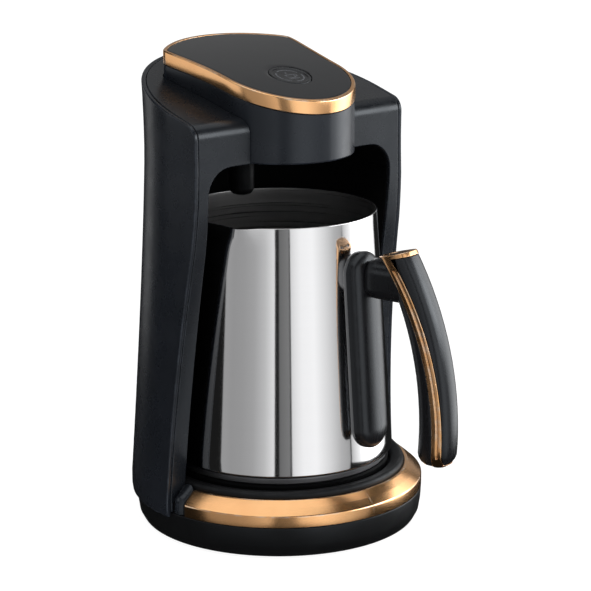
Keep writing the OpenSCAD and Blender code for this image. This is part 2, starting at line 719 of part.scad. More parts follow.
module control_board() color([0.1, 0.35, 0.15]) {
    difference() {
        translate([board_x0, board_y0, board_z + 0.02]) cube([board_w, connector_y - board_y0, 1.6]);
        for (x = board_posts_x) for (y = board_posts_y) translate([x, y, 0]) cylinder(r = 1, h = 300);
    }
    // capacitor, transformer and connectors
    translate([-4, 22, board_z + 1.6]) cylinder(r = 5, h = 11);
    translate([-9, connector_y - 7, board_z + 1.6]) cube([18, 7, 7]);
    translate([8, 14, board_z + 1.6]) cube([14, 12, 10]);
    translate([-16, 2, board_z + 1.6]) cube([5, 16, 6]);
}

module relay() color([0.1, 0.25, 0.6]) translate([6, -6, board_z + 1.65]) cube([19, 15, 9]);

module buzzer() color(gloss_black) translate([-6, -6, board_z + 1.65]) difference() {
    cylinder(r = 6, h = 6);
    translate([0, 0, 3]) cylinder(r = 1, h = 5);
}

module head_band() color(rose_gold) difference() {
    intersection() {
        difference() {
            head_prism(-0.3, bay_top, 270);
            head_prism(band_t, bay_top - 1, 271);
        }
        under_crown(0);
    }
    under_crown(band_h);
}

// Frame of the button: z up along the press axis, z = 0 at the panel's surface
module at_button() translate([0, -button_fwd, button_top_z]) rotate([button_tilt, 0, 0]) children();

module top_panel() color(gloss_black) difference() {
    union() {
        intersection() {
            head_prism(band_t + gap, bay_top, 270);
            difference() {
                under_crown(0.1);
                under_crown(panel_t);
            }
        }
        // posts for the button board
        at_button() for (a = [45:90:315]) rotate([0, 0, a]) translate([18, 0, -button_board_depth])
            cylinder(r = 2.2, h = button_board_depth - 1);
        // ledge inside the band
        intersection() {
            head_prism(band_t + gap, bay_top, 270);
            difference() {
                head_prism(band_t + gap, bay_top, 270);
                head_prism(band_t + 2, bay_top - 1, 271);
            }
            difference() {
                under_crown(1);
                under_crown(band_h - 0.3);
            }
        }
    }
    at_button() translate([0, 0, -8]) cylinder(r = button_r + button_gap, h = 12);
}

module button_board() color([0.1, 0.35, 0.15]) at_button()
    translate([-15, -15, -button_board_depth - 1.6]) cube([30, 30, 1.58]);

switch_h = 3.6;
plunger_r = 1.7;

module start_switch() color([0.2, 0.2, 0.2]) at_button()
    translate([0, 0, -button_board_depth]) difference() {
        translate([-3, -3, 0]) cube([6, 6, switch_h]);
        translate([0, 0, 0.8]) cylinder(r = plunger_r + slide_fit, h = 6);
    }

plunger_bottom = -button_board_depth + 0.8 + button_travel + 0.15;
plunger_top = -button_board_depth + switch_h + button_travel + 0.4;

module switch_plunger() color([0.7, 0.1, 0.1]) at_button() translate([0, 0, plunger_bottom])
    cylinder(r = plunger_r, h = plunger_top - plunger_bottom);

module start_button() color(gloss_black) at_button() difference() {
    union() {
        rotate_extrude() polygon([[0, -4.2], [button_r + 1.3, -4.2], [button_r + 1.3, -panel_t - 0.35],
            [button_r, -panel_t - 0.35], [button_r, -0.5], [button_r - 0.4, -0.1], [0, -0.1]]);
        translate([0, 0, plunger_top]) cylinder(r = 2.6, h = -4 - plunger_top);
    }
    // dished face with a raised rim
    translate([0, 0, -0.1]) rotate_extrude() polygon([[button_r - 1.6, 0.1], [button_r - 1.8, -0.25],
        [0, -0.25], [0, 1], [button_r - 1.6, 1]]);
}

spring_r = 5.6;
spring_wire = 0.35;
spring_turns = 4.5;
spring_z0 = -button_board_depth + spring_wire + 0.05;
spring_z1 = -4.25 - spring_wire;
spring_n = 18;

// Helix of round wire from the board to the underside of the button
module button_spring() color(steel) at_button() loft([for (i = [0:spring_n * spring_turns])
    let(a = i * 360 / spring_n, z = lerp(spring_z0, spring_z1, i / (spring_n * spring_turns)))
    [for (j = [0:5]) let(b = -j * 60, r = spring_r + spring_wire * cos(b))
        [r * cos(a), r * sin(a), z + spring_wire * sin(b)]]]);

// ---------- pot ----------

pot_edge_r = 1.6;
module pot_shell() color(steel) difference() {
    rotate_extrude($fn = 128) polygon(concat(
        [[0, pot_z0]],
        arc(pot_r(pot_z0 + pot_edge_r) - pot_edge_r / cos(pot_lean), pot_z0 + pot_edge_r, pot_edge_r,
            -90, pot_lean, 5),
        [[pot_r(pot_z1 - 0.3), pot_z1 - 0.3], [pot_rim_r - 0.2, pot_z1], [pot_rim_r - pot_wall + 0.2, pot_z1],
            [pot_rim_r - pot_wall, pot_z1 - 0.3]],
        arc(pot_foot_r - pot_wall - 4, pot_z0 + pot_wall + 4, 4, -4, -90, 6),
        [[0, pot_z0 + pot_wall]]));
}

module pot_base_disc() color(dark_steel) rotate_extrude() polygon([
    [0, plate_top], [pot_foot_r - 3.6, plate_top], [pot_foot_r - 2.8, plate_top + 0.8],
    [pot_foot_r - 2.4, pot_z0], [0, pot_z0]]);

module at_handle() rotate([0, 0, -90 + handle_angle]) children();
// x out of the pot's wall, z up along the wall, origin on the wall at height h
module on_wall(h) translate([pot_r(h), 0, h]) rotate([0, -pot_lean, 0]) children();
module pot_cone(d) rotate_extrude($fn = 128) polygon([[0, pot_z0 - 10],
    [pot_r(pot_z0 - 10) + d, pot_z0 - 10], [pot_r(pot_z1 + 10) + d, pot_z1 + 10], [0, pot_z1 + 10]]);

// Rounded bar section: half width w, from x = 0 to x = t, corners of radius r
function bar_half(w, t, r) = concat([[0, 0], [w, 0]], arc(w - r, t - r, r, 0, 90, 6), [[0, t]]);

module capsule_bar(z0, z1, w, t, r) {
    for (z = [z0 + w, z1 - w]) translate([0, 0, z]) rotate([0, 90, 0])
        rotate_extrude() polygon(bar_half(w, t, r));
    translate([0, 0, z0 + w]) linear_extrude(height = z1 - z0 - 2 * w)
        polygon([for (p = mirrored(bar_half(w, t, r))) [p.y, -p.x]]);
}

plate_mid = (plate_z0 + plate_z1) / 2;
plate_half_h = (plate_z1 - plate_z0) / 2;
bracket_t = 1.5;
stud_z = [-20, 14];

module handle_plate() color(gloss_black) at_handle() difference() {
    on_wall(plate_mid) translate([-4, 0, 0])
        capsule_bar(-plate_half_h, plate_half_h, plate_half_w, plate_proud + 4, 6.8);
    pot_cone(0.08);
    // seat of the steel bracket, its studs and the screw
    intersection() {
        on_wall(plate_mid) translate([-6, -bracket_half_w - gap, -bracket_half_h - gap])
            cube([12, 2 * (bracket_half_w + gap), 2 * (bracket_half_h + gap)]);
        pot_cone(bracket_t + 0.05 + gap);
    }
    on_wall(plate_mid) for (z = stud_z) translate([0, 0, z]) rotate([0, 90, 0])
        cylinder(r = 2 + slide_fit, h = 5);
    translate([0, 0, arm_z]) rotate([0, 90, 0]) {
        cylinder(r = 2.1, h = 100);
        cylinder(r = 4, h = pot_r(arm_z) + 3.4);
    }
}

bracket_half_w = 7;
bracket_half_h = 30;

// Curved strip welded to the pot, with two studs
module handle_bracket() color(steel) at_handle() {
    intersection() {
        on_wall(plate_mid) translate([-6, -bracket_half_w, -bracket_half_h])
            cube([12, 2 * bracket_half_w, 2 * bracket_half_h]);
        difference() {
            pot_cone(bracket_t);
            pot_cone(0.06);
        }
    }
    on_wall(plate_mid) for (z = stud_z) translate([0.8, 0, z]) rotate([0, 90, 0])
        cylinder(r = 2, h = 4);
}

module handle_screw() color(steel) at_handle() translate([pot_r(arm_z) + 1, 0, arm_z])
    rotate([0, 90, 0]) {
        cylinder(r = 3.6, h = 2.3);
        cylinder(r = 1.9, h = 16);
    }

// Grip outline in the handle's plane: back curve, inner curve and band curve
function curve_x(z, reach, z_flat, r) = reach - r + sqrt(pow(r, 2) - pow(z - z_flat, 2));
function back_x(z) = curve_x(z, grip_reach, grip_flat_z, grip_curve_r);
function inner_x(z) = curve_x(z, grip_reach - grip_depth, grip_flat_z + 4, grip_curve_r * 0.9);
band_curve_r = grip_curve_r - 23;
band_cx = grip_reach - 5.7 - band_curve_r;
band_cz = grip_flat_z - 3;

grip_n = 18;
section_n = 28;
// Section of the grip between an inner point and an outer point, less d
function grip_ring(p, q, w, d) = let(c = (p + q) / 2, a = norm(q - p) / 2 - d, u = (q - p) / norm(q - p))
    [for (j = [0:section_n - 1]) let(b = 360 * j / section_n,
        x = a * sign(cos(b)) * pow(abs(cos(b)), 0.72), y = (w - d) * sign(sin(b)) * pow(abs(sin(b)), 0.72))
        [c.x + x * u.x, y, c.y + x * u.y]];
function grip_in(t) = let(z = lerp(grip_z0, grip_z1 - 4.5, t)) [inner_x(z), z];
function grip_out(t) = let(z = lerp(grip_z0, grip_z1, t)) [back_x(z), z];
end_r = 8;
// Rings of the rounded lower end
function end_ring(k, d) = let(a = 18 * (k + 0.4), z = grip_z0 + end_r * (1 - cos(a)) + d * 0.9,
    p = [inner_x(z), z], q = [back_x(z), z], c = (p + q) / 2, f = 0.3 + 0.7 * sin(a))
    grip_ring(c + (p - c) * f, c + (q - c) * f, grip_half_w * f, d);

module grip_body(d = 0) loft(concat([for (k = [0:4]) end_ring(k, d)],
    [for (i = [2:grip_n]) grip_ring(grip_in(i / grip_n), grip_out(i / grip_n), grip_half_w, d)]));

// Everything on the pot's side of the band's curve, moved outwards by d
module inside_band(d) rotate([90, 0, 0]) linear_extrude(height = 60, center = true)
    polygon(concat([[0, 20]], arc(band_cx, band_cz, band_curve_r + d, -14, 42, 28), [[0, 200]]));

cap_t = 2.4;
foot_lip = 2;
groove_w = 0.9;
// Space under the outer half, up to t above its lower end
module foot_zone(t) difference() {
    translate([0, -50, 0]) cube([200, 100, grip_z0 + t]);
    inside_band(0);
}

// Slab along the top of the grip, t thick
module cap_zone(t) let(p = grip_in(1), q = grip_out(1), a = atan2(q.y - p.y, q.x - p.x))
    translate([p.x, 0, p.y]) rotate([0, -a, 0]) translate([-30, -30, -t]) cube([80, 60, 40]);

// Rounded bar from the mounting plate to the band
module arm_bar(d) translate([0, 0, arm_z]) rotate([90, 0, 90]) linear_extrude(height = 120)
    for (s = [-1, 1]) {
        translate([0, s * (arm_half_h - arm_half_w)]) circle(r = arm_half_w + d);
        square([2 * (arm_half_w + d), 2 * (arm_half_h - arm_half_w)], center = true);
    }

module handle_arm() color(gloss_black) at_handle() difference() {
    intersection() {
        arm_bar(0);
        inside_band(-grip_band_w / 2 - gap * 0.5);
        on_wall(arm_z) translate([plate_proud + 0.1, -50, -100]) cube([100, 100, 200]);
    }
    cap_zone(cap_t + gap * 0.5);
    translate([pot_r(arm_z), 0, arm_z]) rotate([0, 90, 0]) cylinder(r = 2, h = 18);
}

module grip_inner() color(gloss_black) at_handle() difference() {
    intersection() {
        grip_body();
        inside_band(-grip_band_w / 2 - gap * 0.2);
    }
    arm_bar(gap * 0.5);
    cap_zone(cap_t + gap * 0.2);
}

module grip_band() color(rose_gold) at_handle() difference() {
    intersection() {
        grip_body(-0.25);
        union() {
            difference() {
                inside_band(grip_band_w / 2);
                inside_band(-grip_band_w / 2);
            }
            cap_zone(cap_t);
            foot_zone(foot_lip);
        }
    }
    // groove along the middle of the band
    intersection() {
        difference() {
            inside_band(groove_w / 2 + 0.5);
            inside_band(0.5 - groove_w / 2);
        }
        difference() {
            grip_body(-2);
            grip_body(0.4);
        }
        translate([0, -50, grip_z0 + 6]) cube([200, 100, grip_z1 - grip_z0 - 16]);
    }
    // recess for the insert
    intersection() {
        grip_body(1.6);
        cap_zone(1.2);
        inside_band(0.5);
    }
}

module grip_outer() color(gloss_black) at_handle() difference() {
    grip_body();
    inside_band(grip_band_w / 2 + gap * 0.2);
    cap_zone(cap_t + gap * 0.2);
    foot_zone(foot_lip + gap * 0.2);
}

module grip_top_insert() color(charcoal) at_handle() difference() {
    intersection() {
        grip_body(1.7);
        cap_zone(1.15);
        inside_band(0.4);
    }
    cap_zone(0.3);
}

base_housing();
base_ring_trim();
seat_ring();
bottom_cover();
rubber_feet();
housing_screws();
cord_gland();
terminal_block();
heating_plate();
heating_element();
plate_clamp();
thermostat();
thermal_fuse();
wiring_loom();
column_screws();
rear_shell();
front_frame();
frame_screws();
bay_liner();
head_housing();
head_bottom_cover();
head_screws();
overflow_sensor();
sensor_lens();
control_board();
relay();
buzzer();
head_band();
top_panel();
button_board();
start_switch();
button_spring();
start_button();
switch_plunger();
pot_shell();
pot_base_disc();
handle_bracket();
handle_plate();
handle_screw();
handle_arm();
grip_inner();
grip_band();
grip_outer();
grip_top_insert();
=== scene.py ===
import math

import bmesh
import bpy
from bpy.props import FloatProperty, FloatVectorProperty, PointerProperty
from mathutils import Matrix, Vector


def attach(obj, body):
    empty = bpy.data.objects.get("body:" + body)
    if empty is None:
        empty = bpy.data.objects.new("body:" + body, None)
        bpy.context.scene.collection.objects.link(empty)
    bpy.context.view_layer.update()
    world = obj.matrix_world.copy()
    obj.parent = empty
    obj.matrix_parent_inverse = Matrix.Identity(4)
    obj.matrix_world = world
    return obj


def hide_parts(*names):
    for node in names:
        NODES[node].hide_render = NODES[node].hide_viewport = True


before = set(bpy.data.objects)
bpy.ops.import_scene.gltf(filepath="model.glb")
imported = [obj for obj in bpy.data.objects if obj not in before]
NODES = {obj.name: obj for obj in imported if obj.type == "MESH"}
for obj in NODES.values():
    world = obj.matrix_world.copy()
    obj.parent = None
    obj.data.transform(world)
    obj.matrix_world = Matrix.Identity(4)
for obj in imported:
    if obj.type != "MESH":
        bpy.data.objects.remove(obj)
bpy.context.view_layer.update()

bl_info = {
    "name": "Turkish coffee maker looks",
    "version": (1, 0, 0),
    "blender": (4, 5, 0),
    "location": "3D View > Sidebar > Coffee maker",
    "description": "Finishes the pieces of an electric turkish coffee maker round its packed model",
    "category": "Object",
}

MM = 0.001


# ---- settings

def size(name, description, default, high=1.0):
    return FloatProperty(name=name, description=description, default=default, min=0.0, max=high,
                         unit="LENGTH", precision=4)


def angle(name, description, degrees):
    return FloatProperty(name=name, description=description, default=math.radians(degrees),
                         subtype="ANGLE", unit="ROTATION")


def colour(name, description, default):
    return FloatVectorProperty(name=name, description=description, default=default, size=3,
                               subtype="COLOR", min=0.0, max=1.0)


class CoffeeBaseSettings(bpy.types.PropertyGroup):
    radius: size("Base radius", "Radius of the base and of the ring", 0.075)
    wall_top: size("Wall top", "Height of the top of the black wall", 0.0172)
    ring_inner: size("Ring inner radius", "Radius of the ring's inner edge", 0.0658)
    ring_band: size("Ring band", "Height of the upright part of the ring", 0.0061)
    ring_rise: size("Ring rise", "Rise of the sloping part of the ring", 0.0065)


class CoffeePotSettings(bpy.types.PropertyGroup):
    foot_radius: size("Foot radius", "Outer radius of the pot at its foot", 0.0592)
    rim_radius: size("Rim radius", "Outer radius of the pot at its rim", 0.0504)
    foot_height: size("Foot height", "Height of the underside of the steel body", 0.0375)
    height: size("Height", "Height of the steel body", 0.127)
    wall: size("Wall", "Thickness of the steel", 0.0009)
    lip: size("Lip", "How far the pouring lip stands out", 0.0016)


class CoffeeHeadSettings(bpy.types.PropertyGroup):
    nose_radius: size("Nose radius", "Radius of the round front of the head", 0.0368)
    back_radius: size("Back radius", "Radius of the round back of the head", 0.0589)
    crown_radius: size("Crown radius", "Radius of the crown of the top surface", 0.625)
    band_height: size("Band height", "Height of the rose-gold band", 0.007)
    button_radius: size("Button radius", "Radius of the round button", 0.011)


class CoffeeHandleSettings(bpy.types.PropertyGroup):
    angle: angle("Angle", "Turn of the handle from the front to the right", 12.5)
    plate_half_width: size("Plate half width", "Half the width of the mounting plate", 0.0115)
    plate_proud: size("Plate height", "How far the mounting plate stands off the pot", 0.007)


class CoffeeLookSettings(bpy.types.PropertyGroup):
    satin_black: colour("Satin black", "Casing and head", (0.0105, 0.0125, 0.0170))
    base_black: colour("Base black", "Base, seat and lining of the bay", (0.0050, 0.0050, 0.0054))
    # the casing's black, a little darker on the roof and arm fronts as painted shade
    arm_grey: colour("Arm grey", "Roof and arm fronts", (0.0100, 0.0117, 0.0150))
    gloss_black: colour("Gloss black", "Panel and handle", (0.0060, 0.0060, 0.0070))
    rose_gold: colour("Rose gold", "Plated trim", (0.95, 0.51, 0.23))
    steel: colour("Steel", "Body of the pot", (0.76, 0.76, 0.77))


class CoffeeStageSettings(bpy.types.PropertyGroup):
    azimuth: angle("Azimuth", "Camera's angle round the object", -40)
    distance: size("Distance", "Camera's distance from the axis", 1.13175, high=5.0)
    height: size("Height", "Camera's height", 0.40891)
    floor: colour("Floor", "Colour of the floor", (0.30, 0.30, 0.30))
    ambient: FloatProperty(name="Ambient", description="Light that comes from all round", default=0.012,
                           min=0.0, max=2.0)


SETTINGS = {
    "coffee_base": CoffeeBaseSettings, "coffee_pot": CoffeePotSettings,
    "coffee_head": CoffeeHeadSettings, "coffee_handle": CoffeeHandleSettings,
    "coffee_look": CoffeeLookSettings, "coffee_stage": CoffeeStageSettings,
}


# ---- outlines

def mix(a, b, t):
    return a + (b - a) * t


def smooth_step(t):
    t = max(0.0, min(1.0, t))
    return t * t * (3 - 2 * t)


def arc(radius, start, end, steps, x=0.0, y=0.0):
    """Points along an arc round x, y, its angles in degrees."""
    turns = [math.radians(mix(start, end, i / steps)) for i in range(steps + 1)]
    return [(x + radius * math.cos(a), y + radius * math.sin(a)) for a in turns]


def rounded(corners, steps, closed=True):
    """Outline through corners (x, y, radius), each corner rounded to its radius."""
    out = []
    n = len(corners)
    for i, (x, y, r) in enumerate(corners):
        p = Vector((x, y))
        if r <= 0 or (not closed and i in (0, n - 1)):
            out.append((x, y))
            continue
        a = Vector(corners[i - 1][:2]) - p
        b = Vector(corners[(i + 1) % n][:2]) - p
        half = a.angle(b) / 2
        reach = min(r / math.tan(half), a.length * 0.49, b.length * 0.49)
        r = reach * math.tan(half)
        centre = p + (a.normalized() + b.normalized()).normalized() * (r / math.sin(half))
        u = p + a.normalized() * reach - centre
        v = p + b.normalized() * reach - centre
        w = u.angle(v)
        for k in range(steps + 1):
            t = k / steps
            q = centre + (u * math.sin((1 - t) * w) + v * math.sin(t * w)) / math.sin(w)
            out.append((q.x, q.y))
    return out


def inset(points, d):
    """Moves each point of a counter-clockwise outline inwards by d."""
    n = len(points)
    out = []
    for i, (x, y) in enumerate(points):
        tx = points[(i + 1) % n][0] - points[i - 1][0]
        ty = points[(i + 1) % n][1] - points[i - 1][1]
        k = d / math.hypot(tx, ty)
        out.append((x - ty * k, y + tx * k))
    return out


# ---- meshes

# vertices closer than this are one, in metres
WELD = 2e-6
# CAD edges flatter than the first are dissolved, sharper than the second are rounded
FLAT_ANGLE, EDGE_ANGLE = math.radians(0.3), math.radians(30)
# a face gets the worn, lighter edge (real wear and a painted highlight) if it is narrower than this, in
# metres, and bends more than this at two edges
EDGE_MARK_WIDTH, EDGE_MARK_BEND = 0.0009, math.radians(6)


def loft(rings, around=True, along=False):
    """Vertices and faces through rings; along joins last to first, else both ends are capped."""
    n, m = len(rings[0]), len(rings)
    verts = [p for ring in rings for p in ring]
    faces = []
    for k in range(m if along else m - 1):
        for i in range(n if around else n - 1):
            a, b = k * n, ((k + 1) % m) * n
            j = (i + 1) % n
            faces.append((a + i, a + j, b + j, b + i))
    if not along:
        faces.append(tuple(range(n - 1, -1, -1)))
        faces.append(tuple((m - 1) * n + i for i in range(n)))
    return verts, faces


def lathe(outline, steps):
    """Turns an (r, z) outline, which starts and ends on the axis, round Z."""
    rings = []
    for k in range(steps):
        a = math.radians(360.0 * k / steps)
        rings.append([(r * math.cos(a), r * math.sin(a), z) for r, z in outline])
    return loft(rings, around=False, along=True)


def join_parts(*parts):
    verts, faces = [], []
    for v, f in parts:
        shift = len(verts)
        verts += v
        faces += [tuple(i + shift for i in face) for face in f]
    return verts, faces


def clean(mesh, sharp=32.0):
    """Welds doubles, drops collapsed faces, points faces outwards and smooths all but sharp edges."""
    bm = bmesh.new()
    bm.from_mesh(mesh)
    bmesh.ops.remove_doubles(bm, verts=bm.verts, dist=WELD)
    bmesh.ops.dissolve_degenerate(bm, edges=bm.edges, dist=1e-7)
    bmesh.ops.recalc_face_normals(bm, faces=bm.faces)
    bm.to_mesh(mesh)
    bm.free()
    mesh.shade_smooth()
    mesh.set_sharp_from_angle(angle=math.radians(sharp))


def mark_edges(mesh):
    """Stores 1 on the narrow faces that round an edge, for the materials' edge wear and painted
    highlight.
    """
    bm = bmesh.new()
    bm.from_mesh(mesh)
    bm.faces.ensure_lookup_table()
    values = []
    for face in bm.faces:
        bends = sum(1 for e in face.edges
                    if len(e.link_faces) == 2 and e.calc_face_angle(0.0) > EDGE_MARK_BEND)
        longest = max(e.calc_length() for e in face.edges)
        values.append(1.0 if bends >= 2 and face.calc_area() < longest * EDGE_MARK_WIDTH else 0.0)
    bm.free()
    layer = mesh.attributes.new("edge_wear", "FLOAT", "FACE")
    layer.data.foreach_set("value", values)


def new_object(name, data):
    thing = bpy.data.objects.new(name, data)
    bpy.context.scene.collection.objects.link(thing)
    return thing


def piece_from(name, shape, place=Matrix(), sharp=32.0):
    """A new object from vertices in millimetres, with its place in its mesh."""
    verts, faces = shape
    mesh = bpy.data.meshes.new(name)
    mesh.from_pydata([Vector(v) * MM for v in verts], [], faces)
    mesh.transform(place)
    clean(mesh, sharp)
    return new_object(name, mesh)


def bake(piece):
    """Turns what the modifiers make into a plain mesh."""
    graph = bpy.context.evaluated_depsgraph_get()
    mesh = bpy.data.meshes.new_from_object(piece.evaluated_get(graph))
    piece.modifiers.clear()
    piece.data = mesh
    return piece


def softened_copy(name, node, width, steps):
    """A copy of a CAD node with flat faces joined and its edges rounded to width, in metres."""
    mesh = NODES[node].data.copy()
    mesh.materials.clear()
    bm = bmesh.new()
    bm.from_mesh(mesh)
    bmesh.ops.remove_doubles(bm, verts=bm.verts, dist=WELD)
    bmesh.ops.dissolve_limit(bm, angle_limit=FLAT_ANGLE, use_dissolve_boundaries=False,
                             verts=bm.verts, edges=bm.edges, delimit=set())
    layer = bm.edges.layers.float.new("bevel_weight_edge")
    for edge in bm.edges:
        if len(edge.link_faces) == 2 and edge.calc_face_angle(0.0) > EDGE_ANGLE:
            edge[layer] = 1.0
    bm.to_mesh(mesh)
    bm.free()
    piece = new_object(name, mesh)
    bevel = piece.modifiers.new("Rounded edges", "BEVEL")
    bevel.limit_method = "WEIGHT"
    bevel.width = width
    bevel.segments = steps
    bevel.use_clamp_overlap = False
    bevel.miter_outer = "MITER_SHARP"
    bake(piece)
    piece.data.shade_smooth()
    piece.data.set_sharp_from_angle(angle=math.radians(42))
    normals = piece.modifiers.new("Weighted normals", "WEIGHTED_NORMAL")
    normals.keep_sharp = True
    normals.weight = 80
    return bake(piece)


def settle(piece, body, slot, looks, *nodes):
    """Gives a piece its finishes, its body and the nodes it stands for; the slot is not used."""
    mark_edges(piece.data)
    piece.data.materials.clear()
    for name in looks.split():
        piece.data.materials.append(finish(name))
    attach(piece, body)
    if nodes:
        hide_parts(*nodes)


def settle_softened(body, *rows):
    """Softened copies of CAD nodes, each with its edge radius, bevel steps, slot and finish."""
    for name, node, width, steps, slot, look in rows:
        settle(softened_copy(name, node, width, steps), body, slot, look, node)


# ---- finishes

def fill(tree, node, sockets):
    """Gives each socket, by name or number, its value or its link."""
    for socket, value in sockets.items():
        if isinstance(value, bpy.types.NodeSocket):
            tree.links.new(value, node.inputs[socket])
        else:
            node.inputs[socket].default_value = value


def add_node(tree, kind, sockets=None, **settings):
    node = tree.nodes.new(kind)
    for key, value in settings.items():
        setattr(node, key, value)
    fill(tree, node, sockets or {})
    return node


class Finish:
    """A small builder of node materials on Object coordinates."""

    def __init__(self, name):
        self.material = bpy.data.materials.new(name)
        self.material.use_nodes = True
        self.tree = self.material.node_tree
        self.tree.nodes.clear()
        self.shader = add_node(self.tree, "ShaderNodeBsdfPrincipled")
        add_node(self.tree, "ShaderNodeOutputMaterial", {0: self.shader.outputs[0]})
        self.coords = add_node(self.tree, "ShaderNodeTexCoord").outputs["Object"]

    def add(self, kind, sockets, output=0, **settings):
        return add_node(self.tree, kind, sockets, **settings).outputs[output]

    def set(self, **sockets):
        """Values and links for the shader, with _ for the space in a socket's name."""
        fill(self.tree, self.shader, {name.replace("_", " "): v for name, v in sockets.items()})

    def noise(self, scale, detail=2.0, stretch=(1, 1, 1), roughness=0.5):
        place = self.add("ShaderNodeMapping", {"Vector": self.coords, "Scale": stretch})
        return self.add("ShaderNodeTexNoise", {
            "Vector": place, "Scale": scale, "Detail": detail, "Roughness": roughness}, "Fac")

    def ramp(self, value, low, high, a=0.3, b=0.7):
        """Spreads what lies between a and b to low and high."""
        return self.add("ShaderNodeMapRange", {
            "Value": value, "From Min": a, "From Max": b, "To Min": low, "To Max": high})

    def edge_wear(self, most):
        """Worn and lighter patches along the rounded edges, from 0 to most: real wear and a painted
        highlight.
        """
        mark = self.add("ShaderNodeAttribute", {}, "Fac", attribute_name="edge_wear")
        patches = self.ramp(self.noise(160, 5), 0.0, most, 0.42, 0.62)
        return self.add("ShaderNodeMath", {0: mark, 1: patches}, operation="MULTIPLY")

    def blend(self, value, wear, worn_and_lit):
        """The value, which turns into worn_and_lit where the edge mark (wear and painted highlight) is.
        """
        return self.add("ShaderNodeMix", {0: wear, 2: value, 3: worn_and_lit})

    def tint(self, value, wear, worn_and_lit):
        """The colour, which turns into the lighter worn_and_lit colour where the edge mark is: real
        wear and a painted highlight.
        """
        return self.add("ShaderNodeMix", {0: wear, 6: value, 7: (*worn_and_lit, 1)}, 2, data_type="RGBA")

    def colours(self, value, one, two):
        return self.add("ShaderNodeMix", {0: value, 6: (*one, 1), 7: (*two, 1)}, 2, data_type="RGBA")

    def bump(self, *layers):
        """Each layer is (height, strength, distance in metres)."""
        below = {}
        for height, strength, distance in layers:
            normal = self.add("ShaderNodeBump", {
                "Height": height, "Strength": strength, "Distance": distance, **below})
            below = {"Normal": normal}
        self.set(Normal=normal)


# tint of the reflections on the black plastics
COOL = (0.86, 0.93, 1.0, 1)
PLASTIC_IOR = 1.5


def shade(c, k):
    return tuple(min(1.0, v * k) for v in c)


def moulded(name, c, rough, grain, level):
    """Moulded plastic: fine grain, faint flow marks and uneven sheen."""
    f = Finish(name)
    f.set(IOR=PLASTIC_IOR, Specular_IOR_Level=level, Specular_Tint=COOL)
    wear = f.edge_wear(0.6)
    ground = f.colours(f.ramp(f.noise(35, 3), 0, 1), shade(c, 0.88), shade(c, 1.15))
    # edges turn lighter: real wear and a painted highlight
    f.set(Base_Color=f.tint(ground, wear, shade(c, 2.6)))
    f.set(Roughness=f.blend(f.ramp(f.noise(90, 4), rough - 0.035, rough + 0.045), wear, rough * 0.7))
    f.bump((f.noise(2600, 2), grain * 0.5, 0.00005), (f.noise(24, 2), 0.05, 0.0006))
    return f.material


def polished_black(name, c, rough, coat):
    """Gloss moulding: a clear skin with a faint ripple and fine rub marks."""
    f = Finish(name)
    f.set(IOR=PLASTIC_IOR, Coat_Weight=coat, Coat_Roughness=0.05, Specular_Tint=COOL)
    wear = f.edge_wear(0.7)
    ground = f.colours(f.ramp(f.noise(30, 2), 0, 1), c, shade(c, 1.35))
    # edges turn lighter: real wear and a painted highlight
    f.set(Base_Color=f.tint(ground, wear, shade(c, 2.2)))
    rubs = f.noise(420, 5, (1, 1, 0.12), 0.65)
    f.set(Roughness=f.blend(f.ramp(rubs, rough, rough + 0.07, 0.35, 0.75), wear, rough + 0.12))
    f.bump((f.noise(55, 1), 0.04, 0.0006), (rubs, 0.02, 0.00004))
    return f.material


def plated_gold(name, c):
    """Rose-gold plating: bright, slightly uneven, with hairline wipe marks."""
    f = Finish(name)
    f.set(Metallic=1.0)
    wear = f.edge_wear(0.55)
    ground = f.colours(f.ramp(f.noise(40, 3), 0, 1), shade(c, 0.93), (c[0], c[1] * 1.07, c[2] * 1.12))
    # edges turn paler: real wear and a painted highlight
    f.set(Base_Color=f.tint(ground, wear, (0.86, 0.74, 0.62)))
    hair = f.noise(900, 4, (1, 1, 4), 0.6)
    f.set(Roughness=f.blend(f.ramp(hair, 0.17, 0.25, 0.3, 0.75), wear, 0.32))
    f.bump((hair, 0.02, 0.00003), (f.noise(45, 1), 0.05, 0.0006))
    return f.material


def turned_steel(name, c, rough, streak, tone, pitch):
    """Steel finished on a lathe: fine rings round Z over a polished ground."""
    f = Finish(name)
    f.set(Metallic=1.0)
    rings = f.noise(1.0, 5, (5, 5, pitch), 0.7)
    wear = f.edge_wear(0.5)
    ground = f.colours(f.ramp(rings, 0, 1), shade(c, 1 - tone), shade(c, 1 + tone * 0.5))
    # edges turn lighter: real wear and a painted highlight
    f.set(Base_Color=f.tint(ground, wear, shade(c, 1.1)))
    uneven = f.ramp(rings, rough * (1 - 4 * tone), rough * (1 + 4 * tone))
    f.set(Roughness=f.blend(uneven, wear, rough + 0.1))
    f.bump((rings, streak, 0.00003), (f.noise(18, 1), 0.04, 0.0008))
    return f.material


def plain_metal(name, c, rough):
    f = Finish(name)
    f.set(Metallic=1.0)
    spots = f.noise(260, 4)
    f.set(Base_Color=f.colours(f.ramp(spots, 0, 1), shade(c, 0.85), c))
    f.set(Roughness=f.ramp(spots, rough - 0.06, rough + 0.10))
    f.bump((f.noise(1500, 2), 0.08, 0.00004))
    return f.material


def speckled(name, c, rough, spots=500):
    """Ceramic, rubber, insulation and board: matt with small speckles."""
    f = Finish(name)
    value = f.noise(spots, 4)
    f.set(Base_Color=f.colours(f.ramp(value, 0, 1), shade(c, 0.8), shade(c, 1.15)))
    f.set(Roughness=f.ramp(value, rough - 0.08, rough + 0.08))
    f.bump((f.noise(2200, 3), 0.15, 0.00006))
    return f.material


